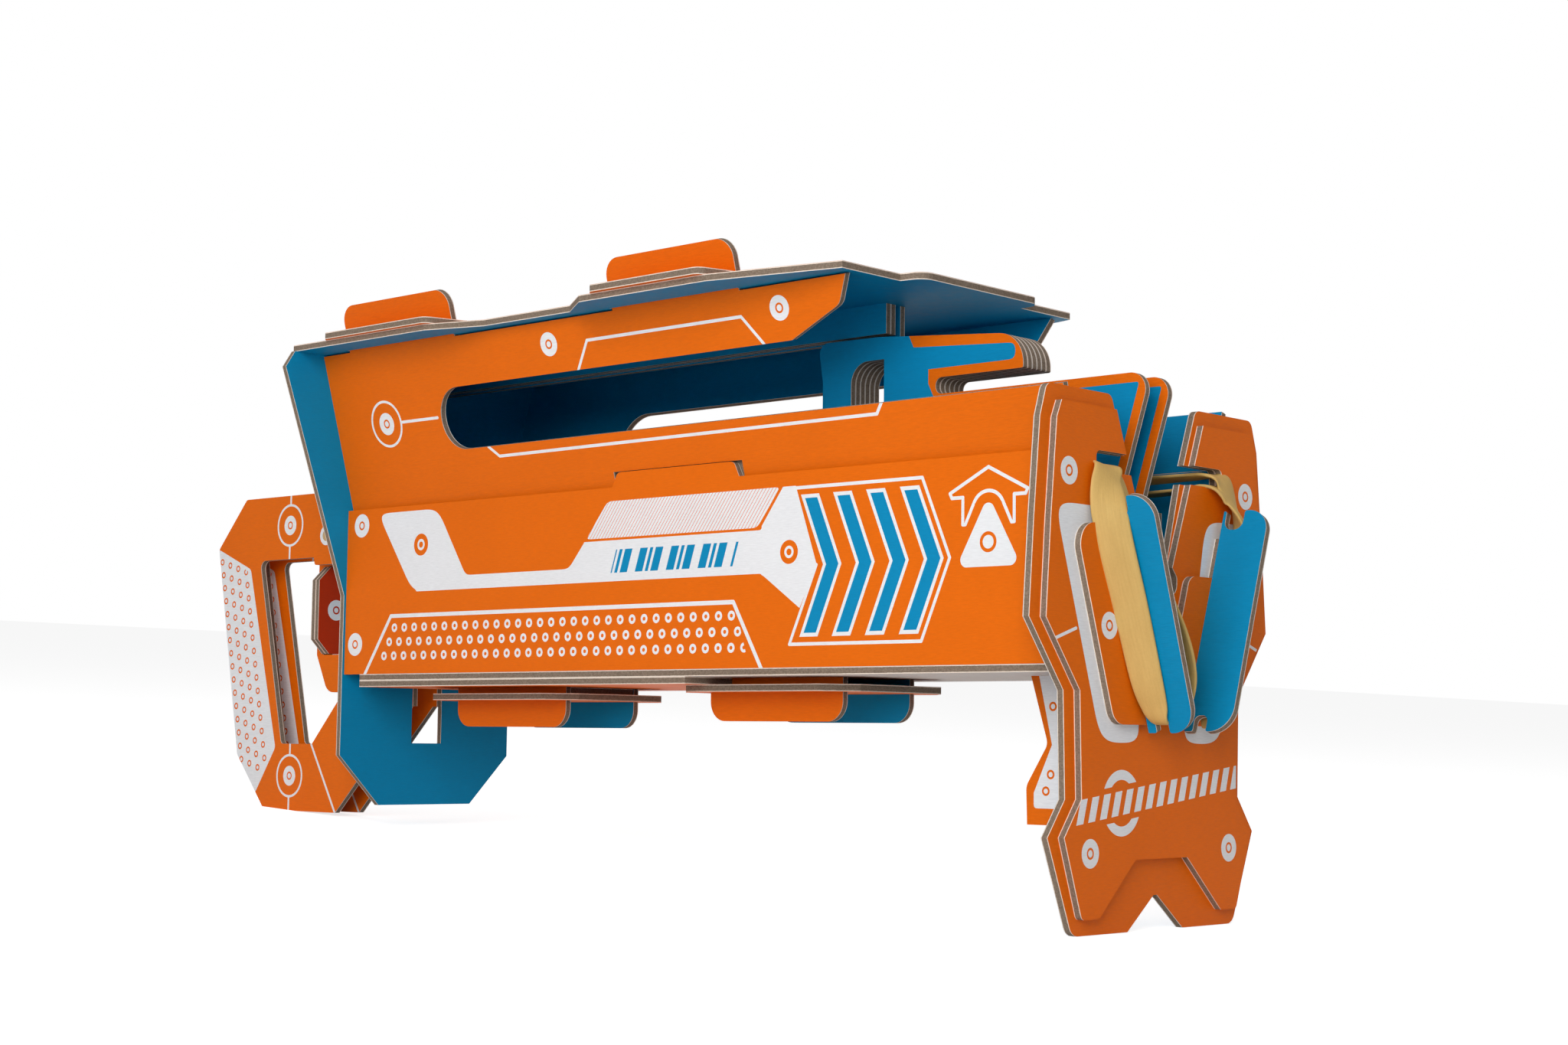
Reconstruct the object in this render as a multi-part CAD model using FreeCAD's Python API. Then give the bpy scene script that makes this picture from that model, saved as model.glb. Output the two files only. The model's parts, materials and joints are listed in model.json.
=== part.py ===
"""Slot-together greyboard launcher for folded paper planes.

A hollow body of die-cut boards carries a D-shaped rear handle with a hinged trigger, and a carriage
that slides along the middle of the body against two rubber bands hooked on the front paddles.

Frame: X points forward, the way a plane leaves, with X = 0 on the front face of the outer front plate.
Y = 0 is the middle plane and +Y the left-hand side. Z points up, with Z = 0 on top of the floor board.
Lengths are millimetres and angles degrees.
"""
import FreeCAD
import Part
import math
import os

Vector = FreeCAD.Vector

# ---- stock and fits ----
BOARD = 2.0               # every greyboard sheet
FIT = 0.3                 # play of a tab in its slot, and of a moving board beside a fixed one
PIN = 4.0                 # diameter of the wooden pins
PIN_PLAY = 0.15           # radial play of a pin where it turns

# ---- body ----
BODY_LENGTH = 285.5       # front face of the front plates to the front face of the bulkhead
REAR = -BODY_LENGTH
SIDE_HALF = 33.8          # middle plane to the outer face of a lower side panel
SIDE_HEIGHT = 52.0        # lower side panels
SIDE_TAB = (-163.5, -113.5, 4.2)    # tab on a lower side panel's top edge: rear, front, height
FLARE = 15.5              # outward lean of the upper side panels
FLARE_HEIGHT = 50.0       # upper side panels, measured along the lean
FLAP = 24.0               # folded flap of an upper panel, inside the lower one
WINDOW = (REAR + 51.2, 15.9, 34.9)       # long window: rear end, lower and upper edge along the lean
NOSE_BACK = -88.0         # where the arm over the window starts to narrow
NOSE_TIP = -66.0          # front end of the arm over the window
NOSE_RISE = 7.5           # height of the slanted cut under the arm's tip
TOP_TABS = ((REAR + 13.5, REAR + 64.2), (-152.6, -103.6))     # tabs through the deck, rear and front end
TAB_STAND = 10.5          # how far those tabs stand above the lock plates, along the lean
TAB_ROUND = 5.5           # rounding of the tabs' free corners

# ---- deck ----
FOLD_HALF = SIDE_HALF - BOARD       # middle plane to the outer face of a flared panel at its fold
DECK_Z = (SIDE_HEIGHT + FLARE_HEIGHT * math.cos(math.radians(FLARE))
          + BOARD * math.sin(math.radians(FLARE)))
PANEL_TOP = FOLD_HALF + (DECK_Z - SIDE_HEIGHT) * math.tan(math.radians(FLARE))     # the same under the deck
DECK_REAR_HALF = PANEL_TOP + 10.1
DECK_WAIST = PANEL_TOP + 3.7        # half width between the lock plates
DECK_SHOULDER = PANEL_TOP + 12.7    # half width at the front lock plate
DECK_FRONT = -63.6
TONGUE_HALF = 26.0        # half width of the short tongue at the deck's front
LOCK_PLATES = ((2.5, 0.2, DECK_REAR_HALF + 1.4), (6.1, 1.2, DECK_SHOULDER + 1.6))  # corners before and
# behind the ends of the tabs, half width
LOCK_MARGIN = 4.0         # lock plate behind its tabs

# ---- floor ----
FLOOR_REAR = REAR + 8.0
FLOOR_TABS = ((REAR + 33.7, REAR + 83.6), (-141.3, -91.8))    # tabs of the inner rails, rear and front end
FLOOR_TAB_STAND = 8.0     # how far those tabs stand below the lock plates
LOCK_TOPS = (-3 * BOARD, -2 * BOARD)    # upper faces of the rear and front floor lock plates
DOUBLER_FRONT = -133.0    # front end of the second floor board
LOCK_REACH = 8.0          # a floor lock plate beyond its tabs
LOCK_HALF = 25.0          # half width of the floor lock plates
LOCK_CORNER = 8.0

# ---- bulkhead ----
BULK_TOP_HALF = PANEL_TOP + 10.9
BULK_EAR = (PANEL_TOP + 14.2, 5.2)  # widest point: half width, distance below the deck
BULK_WAIST_Z = 25.0
BULK_HALF = SIDE_HALF + 0.8
BULK_CHIN = (-25.5, -41.3, 18.8)    # chamfer start, bottom edge, half width of the bottom edge
BULK_SLOT_LOW = -21.5

# ---- front plates ----
CHANNEL_TOP_HALF = 19.2   # half width of the launching channel at the plate's top
CHANNEL_LOW = (5.0, 25.0) # half width and height where the channel ends in its round lobe
LOBE_RADIUS = 7.0
FRONT_TOP = 62.3          # top edge of the outer front plate
FRONT_BORDER = 4.0        # how far the inner front plate stands out around the outer one
BAND_NOTCH = (27.8, 46.6, 51.6)     # outer end and lower and upper edge of the band notches

# ---- rails and ribs ----
RAIL_INNER = 13.0         # middle plane to the inner face of an inner rail
RAIL_HEIGHT = 40.0
RAIL_ENDS = (REAR + 13.5, -10.0)
RUNNER_INNER = 8.0        # middle plane to the inner face of a runner under the carriage
RUNNER_HEIGHT = 27.7
RIB_PLACES = (REAR + 23.5, -170.0, -60.0)
RIB_HEIGHT = 36.0
RIB_MIDDLE = 20.0         # rib height between the inner rails
HALVING = 12.0            # depth of the cross-halving joints, from the floor

# ---- carriage ----
CORE_HALF = 2 * BOARD     # half thickness of the carriage's core
SHOE_Z = RUNNER_HEIGHT + FIT
SHOE_ENDS = (-100.0, -16.0)
CARRIAGE_REAR = -110.0
CARRIAGE_TOP = 91.4
NOTCH = (-67.8, 73.5, 4.5)          # plane seat: rear end, floor, height
ARM_TIP = -38.6           # front end of the arm over the plane seat
GUIDE_TIP = 0.9           # front end of the guide arms
GUIDE_RAKE = 17.0         # rake of their front edge
GRIP_HOLE = (-97.8, -85.9, 60.0, 84.8)
TOOTH_GAP = 12.0          # length of that gap
PEG = (-60.0, 46.0)       # peg that the rubber bands pull on

# ---- spine under the deck ----
SPINE_LOW = CARRIAGE_TOP + 3 * FIT
SPINE_FRONT = -87.0
SPINE_TABS = ((REAR + 23.5, REAR + 53.5), (-142.0, -114.0))

# ---- handle and trigger ----
HANDLE_INNER = 2 * BOARD  # middle plane to the inner face of a handle plate
ARM_TOP = 63.2            # upper edge of the handle
ARM_LOW = 41.3            # lower edge of the upper arm
HANDLE_BOTTOM = -45.1
HANDLE_REAR = REAR - 111.5
ARM_END = REAR + 22.5     # front end of the upper arm, inside the body
PIVOT = (REAR - 45.7, 48.3)         # trigger pin
SEAR_PIVOT = (REAR + 14.0, 49.5)
LINK_BAND = (53.4, 58.4)  # lower and upper edge of the push link
NOSE_REACH = 22.8         # sear pin to the rear face of the sear's nose
NOSE_THICK = 5.2          # length of the sear's nose along the body
TOOTH = (6.0, ARM_TOP + 2.8, ARM_TOP + 8.3)    # catch tooth: length, lower edge, top of the gap before it
TRAVEL = CARRIAGE_REAR + TOOTH[0] + FIT - SEAR_PIVOT[0] - NOSE_REACH      # carriage travel to the rear
PAD_FRONT = PIVOT[0] - 4.3
PAD_HALF = 7.3
PAD_Z = (8.4, 38.1)
PAD_CORNER = 4.8
PAD_BRIDGE = 5.0          # height of the pad's rear layer left whole under its slot
TRIGGER_TIP = -4.7        # lower end of the trigger

# ---- paddles and bands ----
LEAN = 18.5               # outward lean of the wings
WING_BASE = (18.1, 11.8)  # outer face of a wing: distance from the middle plane and height
WING_HALF = 29.7          # half height of a wing along its lean
WING_FRONT = 15.3
WING_TAB = 10.0           # half height of the tab that holds a wing
BAND_WIDTH = 8.0
BAND_THICK = 1.0

# ---- places worked out from the sizes above ----
PLATE_BACK = -2 * BOARD   # rear face of the inner front plate
TAB_TOP = FLARE_HEIGHT + TAB_STAND + 2 * BOARD


# ---------------------------------------------------------------- outlines and boards

def rounded_wire(corners, place):
    """Closed wire through corners (u, v) or (u, v, radius); place turns (u, v) into a 3-D point."""
    points = [(c[0], c[1], c[2] if len(c) > 2 else 0.0) for c in corners]
    runs = []
    for i, (u, v, radius) in enumerate(points):
        here = Vector(u, v, 0)
        if radius == 0:
            runs.append((here, here, here))
            continue
        before = Vector(*points[i - 1][:2], 0) - here
        after = Vector(*points[(i + 1) % len(points)][:2], 0) - here
        half = before.getAngle(after) / 2
        before.normalize()
        after.normalize()
        reach = radius / math.tan(half)
        middle = (before + after).normalize() * (radius / math.sin(half) - radius)
        runs.append((here + before * reach, here + middle, here + after * reach))
    edges = []
    for i, (start, middle, end) in enumerate(runs):
        if (end - start).Length > 0:
            arc = [place(p.x, p.y) for p in (start, middle, end)]
            edges.append(Part.Arc(*arc).toShape())
        following = runs[(i + 1) % len(runs)][0]
        edges.append(Part.makeLine(place(end.x, end.y), place(following.x, following.y)))
    return Part.Wire(edges)


def board_xz(corners, y, thick=BOARD):
    """Upright board along the body, from y to y + thick."""
    wire = rounded_wire(corners, lambda u, v: Vector(u, y, v))
    return Part.Face(wire).extrude(Vector(0, thick, 0))


def board_yz(corners, x, thick=BOARD):
    """Upright board across the body, from x to x + thick."""
    wire = rounded_wire(corners, lambda u, v: Vector(x, u, v))
    return Part.Face(wire).extrude(Vector(thick, 0, 0))


def board_xy(corners, z, thick=BOARD):
    """Flat board, from z to z + thick."""
    wire = rounded_wire(corners, lambda u, v: Vector(u, v, z))
    return Part.Face(wire).extrude(Vector(0, 0, thick))


def block(x, y, z):
    """Box between three (low, high) pairs."""
    return Part.makeBox(x[1] - x[0], y[1] - y[0], z[1] - z[0], Vector(x[0], y[0], z[0]))


def pin_y(place, half, radius):
    """Round pin across the body through (x, z), as long on both sides of the middle plane."""
    return Part.makeCylinder(radius, 2 * half, Vector(place[0], -half, place[1]), Vector(0, 1, 0))


def leaning(solid, base, angle):
    """Turn a right-hand board modelled upright about the X line through base, top outwards."""
    turned = solid.copy()
    turned.rotate(Vector(0, -base[0], base[1]), Vector(1, 0, 0), angle)
    return turned


def mirrored(solid):
    """The same piece on the other side of the middle plane."""
    return solid.mirror(Vector(0, 0, 0), Vector(0, 1, 0))


def both_sides(half_corners):
    """Closed outline from its corners on the positive side, listed from one end to the other."""
    return half_corners + [(-c[0],) + tuple(c[1:]) for c in reversed(half_corners)]


def both_sides_flat(half_corners):
    """The same for a flat board, whose corners are (x, y): the other side has the opposite y."""
    return half_corners + [(c[0], -c[1]) + tuple(c[2:]) for c in reversed(half_corners)]


def cut_all(solid, tools):
    """Solid with each tool cut out of it."""
    for tool in tools:
        solid = solid.cut(tool)
    return solid


# ---------------------------------------------------------------- body panels

def lower_side():
    """Right-hand lower side panel with the tab on its top edge."""
    rear, front, height = SIDE_TAB
    slope = height / 2
    corners = [(REAR, 0), (PLATE_BACK, 0), (PLATE_BACK, SIDE_HEIGHT), (front, SIDE_HEIGHT),
               (front - slope, SIDE_HEIGHT + height, slope),
               (rear + slope, SIDE_HEIGHT + height, slope), (rear, SIDE_HEIGHT), (REAR, SIDE_HEIGHT)]
    return board_xz(corners, -SIDE_HALF)


def upper_outline():
    """Outline of a flared panel: x along the body, v along the lean from the fold."""
    rear, low, high = WINDOW
    radius = (high - low) / 2 - FIT
    corners = [(REAR, -2 * FLAP), (PLATE_BACK, -2 * FLAP), (PLATE_BACK, low), (rear, low, radius),
               (rear, high, radius), (NOSE_BACK, high), (NOSE_TIP - NOSE_RISE / 2, high + NOSE_RISE, 4.0),
               (NOSE_TIP, FLARE_HEIGHT)]
    for start, end in reversed(TOP_TABS):
        corners += [(end, FLARE_HEIGHT), (end, TAB_TOP, TAB_ROUND), (start, TAB_TOP, TAB_ROUND),
                    (start, FLARE_HEIGHT)]
    return corners + [(REAR, FLARE_HEIGHT)]


def upper_side():
    """Right-hand upper side panel: a flared board folded down into a flap inside the lower panel."""
    lean = math.radians(FLARE)
    top = 2 * FLARE_HEIGHT
    outer_top = (-FOLD_HALF - top * math.sin(lean), SIDE_HEIGHT + top * math.cos(lean))
    inner_top = (outer_top[0] + BOARD * math.cos(lean), outer_top[1] + BOARD * math.sin(lean))
    bend = SIDE_HEIGHT + BOARD * math.tan(lean / 2)
    profile = [(-FOLD_HALF, SIDE_HEIGHT - FLAP), (-FOLD_HALF, SIDE_HEIGHT), outer_top, inner_top,
               (-FOLD_HALF + BOARD, bend), (-FOLD_HALF + BOARD, SIDE_HEIGHT - FLAP)]
    strip = board_yz(profile, REAR, BODY_LENGTH)
    upright = [(x, SIDE_HEIGHT + v, *rest) for x, v, *rest in upper_outline()]
    keep = board_xz(upright, -FOLD_HALF - FLAP, 2 * FLAP)
    keep = leaning(keep, (FOLD_HALF, SIDE_HEIGHT), FLARE)
    tab_rear, tab_front, tab_height = SIDE_TAB
    pocket = block((tab_rear - FIT, tab_front + FIT), (-SIDE_HALF - BOARD, -FOLD_HALF + FIT),
                   (SIDE_HEIGHT, SIDE_HEIGHT + tab_height + FIT))
    return strip.common(keep).cut(pocket)


def lean_at(z):
    """Distance from the middle plane of a flared panel's outer face at height z."""
    return FOLD_HALF + (z - SIDE_HEIGHT) * math.tan(math.radians(FLARE))


def tab_slots(z, side):
    """Slots for the flared panels' tabs in a flat board that lies from z to z + BOARD."""
    inner = lean_at(z) - BOARD / math.cos(math.radians(FLARE)) - FIT
    outer = lean_at(z + BOARD) + FIT
    width = (-outer, -inner) if side < 0 else (inner, outer)
    return [block((start - FIT, end + FIT), width, (z, z + BOARD)) for start, end in TOP_TABS]


def spine_slots(z):
    """Slots for the spine boards' tabs in a flat board that lies from z to z + BOARD."""
    half = CORE_HALF + FIT
    return [block((start - FIT, end + FIT), (-half, half), (z, z + BOARD)) for start, end in SPINE_TABS]


def deck_slots(z):
    """Every slot in a flat board over the flared panels."""
    return tab_slots(z, -1) + tab_slots(z, 1) + spine_slots(z)


def top_deck():
    """Deck with the stepped outline and the short tongue at its front."""
    waist = DECK_SHOULDER - DECK_WAIST
    half = [(REAR - BOARD, DECK_REAR_HALF), (TOP_TABS[0][1] - BOARD, DECK_REAR_HALF),
            (TOP_TABS[0][1] + 2 * waist, DECK_WAIST), (TOP_TABS[1][0] - 1.5 * waist, DECK_WAIST),
            (TOP_TABS[1][0], DECK_SHOULDER), (TOP_TABS[1][1], DECK_SHOULDER), (DECK_FRONT, DECK_WAIST),
            (DECK_FRONT, TONGUE_HALF), (DECK_FRONT + 7.2, TONGUE_HALF - 1.0, 4.0)]
    return cut_all(board_xy(both_sides_flat(half), DECK_Z), deck_slots(DECK_Z))


def deck_lock(index):
    """Plate on top of the deck that keeps one pair of the flared panels' tabs from spreading."""
    tab_rear, tab_front = TOP_TABS[index]
    ahead, behind, half = LOCK_PLATES[index]
    corner_rear, corner_front = tab_rear + ahead, tab_front - behind
    rear = tab_rear - LOCK_MARGIN
    tip = half / 2
    outline = both_sides_flat([(rear, half - (corner_rear - rear)), (corner_rear, half, 1.0),
                               (corner_front, half, 3.0), (corner_front + LOCK_MARGIN * 2, tip)])
    z = DECK_Z + BOARD
    return cut_all(board_xy(outline, z), deck_slots(z))


def spine_board(y):
    """Upright board under the deck, over the carriage, with tabs through the deck and lock plates."""
    corners = [(REAR, SPINE_LOW), (SPINE_FRONT, SPINE_LOW), (SPINE_FRONT, DECK_Z)]
    for start, end in reversed(SPINE_TABS):
        top = DECK_Z + 2 * BOARD
        corners += [(end, DECK_Z), (end, top), (start, top), (start, DECK_Z)]
    return board_xz(corners + [(REAR, DECK_Z)], y)


# ---------------------------------------------------------------- floor, rails and ribs

def floor_tab_slots(z, thick):
    """Slots, snug on the faces, for the inner rails' tabs in a floor layer from z to z + thick."""
    return [block((start - FIT, end + FIT), (y, y + BOARD), (z, z + thick))
            for start, end in FLOOR_TABS for y in (RAIL_INNER, -RAIL_INNER - BOARD)]


def floor_layer(level, rear, front, half):
    """Plain floor board; level 1 lies under the side panels, level 2 under that, and so on."""
    corners = both_sides_flat([(rear, half), (front, half)])
    z = -level * BOARD
    return cut_all(board_xy(corners, z), floor_tab_slots(z, BOARD))


def floor_lock(tab, top):
    """Eight-sided plate, with its upper face at height top, that locks one pair of rail tabs."""
    rear, front = tab[0] - LOCK_REACH, tab[1] + LOCK_REACH
    corners = both_sides_flat([(rear, LOCK_HALF - LOCK_CORNER), (rear + LOCK_CORNER, LOCK_HALF),
                               (front - LOCK_CORNER, LOCK_HALF), (front, LOCK_HALF - LOCK_CORNER)])
    z = top - BOARD
    return cut_all(board_xy(corners, z), floor_tab_slots(z, BOARD))


def rib_slots(height):
    """Halving slots, from the floor up, for the ribs in a board along the body."""
    return [block((x - FIT / 2, x + BOARD + FIT / 2), (-SIDE_HALF, SIDE_HALF), (0, height))
            for x in RIB_PLACES]


def inner_rail():
    """Left-hand inner rail: guides the carriage's shoe, with two tabs down through the floor."""
    rear, front = RAIL_ENDS
    corners = [(rear, RAIL_HEIGHT), (rear, 0)]
    for (start, end), top in zip(FLOOR_TABS, LOCK_TOPS):
        tip = top - BOARD - FLOOR_TAB_STAND
        corners += [(start, 0), (start, tip, TAB_ROUND), (end, tip, TAB_ROUND), (end, 0)]
    corners += [(front, 0), (front, RAIL_HEIGHT)]
    return cut_all(board_xz(corners, RAIL_INNER), rib_slots(HALVING))


def runner():
    """Left-hand runner that the carriage's shoe slides on."""
    rear, front = RAIL_ENDS
    corners = [(rear, 0), (front, 0), (front, RUNNER_HEIGHT), (rear, RUNNER_HEIGHT)]
    return cut_all(board_xz(corners, RUNNER_INNER), rib_slots(HALVING))


def rib(x):
    """Rib across the floor, halved with the rails, open in the middle for the carriage."""
    half = FOLD_HALF - BOARD - FIT
    middle = RAIL_INNER + BOARD + FIT
    corners = both_sides([(half, 0), (half, RIB_HEIGHT, 3.0), (middle, RIB_HEIGHT, 2.0),
                          (middle, RIB_MIDDLE)])
    slots = []
    for inner in (RAIL_INNER, RUNNER_INNER):
        for y in (inner, -inner - BOARD):
            slots.append(block((x, x + BOARD), (y - FIT / 2, y + BOARD + FIT / 2), (HALVING, RIB_HEIGHT)))
    return cut_all(board_yz(corners, x), slots)


# ---------------------------------------------------------------- bulkhead and front plates

def bulkhead():
    """Rear bulkhead with one slot for each arm of the handle."""
    ear_half, ear_drop = BULK_EAR
    chamfer_z, bottom_z, bottom_half = BULK_CHIN
    corners = both_sides([(BULK_TOP_HALF, DECK_Z), (ear_half, DECK_Z - ear_drop), (BULK_HALF, BULK_WAIST_Z),
                          (BULK_HALF, chamfer_z), (bottom_half, bottom_z)])
    half = HANDLE_INNER + BOARD + FIT / 2
    x = REAR - BOARD
    upper = block((x, REAR), (-half, half), (ARM_LOW - FIT / 2, ARM_TOP + FIT / 2))
    lower = block((x, REAR), (-half, half), (BULK_SLOT_LOW, BOARD + FIT / 2))
    return cut_all(board_yz(corners, x), [upper, lower])


def channel_half(z):
    """Half width of the launching channel in the outer front plate at height z."""
    low_half, low_z = CHANNEL_LOW
    return low_half + (CHANNEL_TOP_HALF - low_half) * (z - low_z) / (FRONT_TOP - low_z)


def front_corners(border, top, top_round, foot):
    """Outline of a front plate: border widens it all round, foot is its lower end.

    foot gives the height of the feet, the height of the notch between them and its half width.
    """
    foot_z, notch_z, notch_half = foot
    notch_out, notch_low, notch_high = BAND_NOTCH
    narrow = border / 2
    side, wide = SIDE_HALF, SIDE_HALF + border
    low_half, low_z = CHANNEL_LOW
    lobe_z = low_z - LOBE_RADIUS
    return both_sides([
        (notch_half[0], notch_z), (notch_half[1], foot_z, 0.8), (side - 0.3 + border / 3, foot_z, 1.5 + border / 2),
        (wide + 6.7, -41.2), (wide - 0.2, -32.3), (wide + 0.5, -6.5), (wide + 14.0, 10.4),
        (wide + 12.2, 34.0), (wide + 9.9, 58.0), (side + 8.0 + border * 0.8, top, top_round),
        (channel_half(top) - narrow, top, top_round), (channel_half(notch_high) - narrow, notch_high),
        (notch_out, notch_high, 1.6), (notch_out, notch_low, 1.6), (channel_half(notch_low) - narrow, notch_low),
        (low_half, low_z), (LOBE_RADIUS, low_z - LOBE_RADIUS / 3, 1.5), (LOBE_RADIUS, lobe_z, 3.0)])


def front_plates():
    """Inner (rear) and outer (front) front plates, with slots for the tabs of the wings."""
    slot = wing_tab_slot()
    slots = [slot, mirrored(slot)]
    inner = board_yz(front_corners(FRONT_BORDER, FRONT_TOP + FRONT_BORDER, 2.5, (-64.5, -56.0, (0.8, 12.0))),
                     -2 * BOARD)
    outer = board_yz(front_corners(0.0, FRONT_TOP, 0.0, (-60.6, -47.0, (11.3, 26.5))), -BOARD)
    return cut_all(inner, slots), cut_all(outer, slots)


# ---------------------------------------------------------------- handle and trigger

def handle_plate():
    """Left-hand handle plate: a grip, an upper arm into the body and a lower arm to the bulkhead."""
    grip_low = HANDLE_BOTTOM + 22.8
    corners = [(ARM_END, ARM_TOP), (REAR - 95.5, ARM_TOP + 0.2, 2.0), (HANDLE_REAR, ARM_LOW + 5.1, 2.0),
               (REAR - 96.7, grip_low - 4.0, 2.0), (REAR - 79.9, HANDLE_BOTTOM, 2.5),
               (REAR - 39.7, HANDLE_BOTTOM, 1.0), (REAR - BOARD, -9.5), (REAR, -9.5), (REAR, BOARD),
               (REAR - 30.5, BOARD, 6.0), (REAR - 53.6, grip_low, 0.8), (REAR - 71.1, grip_low, 1.5),
               (REAR - 86.5, ARM_LOW, 2.5), (ARM_END, ARM_LOW)]
    plate = board_xz(corners, HANDLE_INNER)
    holes = [pin_y(PIVOT, SIDE_HALF, PIN / 2 + PIN_PLAY), pin_y(SEAR_PIVOT, SIDE_HALF, PIN / 2)]
    return cut_all(plate, holes)


def handle_packing(corners):
    """Packing of boards side by side between the handle plates."""
    count = round(2 * HANDLE_INNER / BOARD)
    return Part.makeCompound([board_xz(corners, -HANDLE_INNER + n * BOARD) for n in range(count)])


def link_guide():
    """Packing in the upper arm, with the channel that the push link slides in."""
    low, high = LINK_BAND
    rear, front = REAR - 31.5, REAR + 1.5
    under = [(rear, ARM_LOW), (front, ARM_LOW), (front, low - FIT), (rear, low - FIT)]
    over = [(rear, high + FIT), (front, high + FIT), (front, ARM_TOP), (rear, ARM_TOP)]
    return Part.makeCompound([handle_packing(under), handle_packing(over)])


def trigger_cheek():
    """Left-hand trigger cheek, a slanted rounded plate outside the handle, down to the pad's top."""
    x, z = PIVOT
    low = PAD_Z[1] + FIT
    corners = [(x - 10.0, z + 7.3, 6.5), (x - 6.0, low, 1.0), (x + 9.6, low, 3.0), (x + 5.5, z + 7.3, 6.5)]
    return board_xz(corners, HANDLE_INNER + BOARD + FIT).cut(pin_y(PIVOT, SIDE_HALF, PIN / 2))


def core_corners():
    """Outline of the trigger's core: it stands behind the pad's front layer, passes behind the foot of its
    rear layer, which so stays in one piece, and ends in the tip under the pad."""
    x, z = PIVOT
    push, rear, seat = x + 6.9, x - 11.8, PAD_FRONT - BOARD
    low, high = PAD_Z[0] - FIT, PAD_Z[1] + FIT
    bridge = PAD_Z[0] + PAD_BRIDGE
    return [(push, z + 9.3, 1.0), (x - 4.3, z + 9.3, 3.0), (rear, z - 8.3, 3.0), (rear, low, 2.0),
            (x - 5.4, TRIGGER_TIP, 5.0), (x + 3.2, TRIGGER_TIP, 4.0), (x + 3.2, low, 1.0),
            (seat - BOARD, low), (seat - BOARD, bridge), (seat, bridge), (seat, high), (x + 5.2, high, 1.0),
            (push, z + 1.7)]


def trigger_core():
    """Two boards between the handle plates that carry the pad and turn on the trigger pin."""
    boards = [board_xz(core_corners(), -BOARD), board_xz(core_corners(), 0)]
    return Part.makeCompound([b.cut(pin_y(PIVOT, SIDE_HALF, PIN / 2)) for b in boards])


def trigger_pad(layer):
    """Eight-sided pad board across the core; layer 0 is the front one."""
    half, corner = PAD_HALF, PAD_CORNER
    low, high = PAD_Z
    corners = both_sides([(half - corner, low), (half, low + corner), (half, high - corner),
                          (half - corner, high)])
    return board_yz(corners, PAD_FRONT - (layer + 1) * BOARD).cut(board_xz(core_corners(), -BOARD, 2 * BOARD))


def push_link():
    """Bar that carries the trigger's push to the sear."""
    low, high = LINK_BAND
    rear = core_corners()[0][0] + FIT
    corners = [(rear, low), (SEAR_PIVOT[0] - PIN - FIT, low), (SEAR_PIVOT[0] - PIN - FIT, high), (rear, high)]
    return board_xz(corners, -BOARD, 2 * BOARD)


def sear():
    """Latch: its lug is pushed by the link and its nose stands in front of the carriage's tooth."""
    x, z = SEAR_PIVOT
    length, low, high = TOOTH
    nose = CARRIAGE_REAR - TRAVEL + length + FIT
    lug = LINK_BAND[1]
    corners = [(x - PIN, z - PIN, 2.0), (x + PIN, z - PIN, 2.0), (nose + NOSE_THICK, low - 8.0, 2.0),
               (nose + NOSE_THICK, high - 1.0, 1.0), (nose, high - 1.0, 0.6), (nose, low - 2.0, 1.0),
               (x + PIN, lug - 1.0, 2.0), (x + PIN / 2, lug + 0.3, 1.0), (x - PIN, lug + 0.3, 1.0),
               (x - PIN, lug - PIN / 2), (x - PIN / 2 - 1.0, z + PIN)]
    return board_xz(corners, -BOARD, 2 * BOARD).cut(pin_y(SEAR_PIVOT, SIDE_HALF, PIN / 2 + PIN_PLAY))


# ---------------------------------------------------------------- carriage

def carriage_upper():
    """Outline of the carriage's upper part, from its tail over the arm to the plane seat."""
    rear, seat, height = NOTCH
    slope = (CARRIAGE_TOP - 87.2) / (CARRIAGE_REAR - ARM_TIP)
    end = height / 2 - FIT / 2
    return [(CARRIAGE_REAR, CARRIAGE_TOP, 3.0), (-88.0, CARRIAGE_TOP + slope * 5), (ARM_TIP, 87.2, 8.5),
            (ARM_TIP, seat + height, 0.5), (rear, seat + height, end), (rear, seat, end)]


def grip_hole():
    """Finger hole through the carriage."""
    rear, front, low, high = GRIP_HOLE
    return board_xz([(rear, low, 5.0), (front, low, 1.0), (front, high), (rear, high, 6.0)], -SIDE_HALF,
                    2 * SIDE_HALF)


def carriage_outer():
    """Left-hand outer board of the carriage, with the long guide arm."""
    seat = NOTCH[1]
    foot = SHOE_Z + BOARD
    toe = GUIDE_TIP - (seat - foot) * math.tan(math.radians(GUIDE_RAKE))
    corners = carriage_upper() + [(GUIDE_TIP, seat, 4.5), (toe, foot), (SHOE_ENDS[0], foot)]
    board = board_xz(corners, CORE_HALF)
    return board.cut(grip_hole()).cut(pin_y(PEG, SIDE_HALF, PIN / 2))


def carriage_core(y):
    """One of the four inner boards of the carriage, with the catch tooth under its tail."""
    length, low, high = TOOTH
    lip = NOTCH[0] + 2 * NOTCH[2]
    tooth = CARRIAGE_REAR + length
    corners = carriage_upper() + [(lip, NOTCH[1]), (lip, low - 8.0), (tooth + TOOTH_GAP, low - 8.0),
                                  (tooth + TOOTH_GAP, high), (tooth, high), (tooth, low), (CARRIAGE_REAR, low)]
    return board_xz(corners, y).cut(grip_hole())


def shoe():
    """Shoe under the carriage, between the inner rails and on the runners."""
    rear, front = SHOE_ENDS
    half = RAIL_INNER - FIT
    return board_xy(both_sides_flat([(rear, half, 2.0), (front, half, 2.0)]), SHOE_Z)


# ---------------------------------------------------------------- paddles, fore grip and bands

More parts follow.
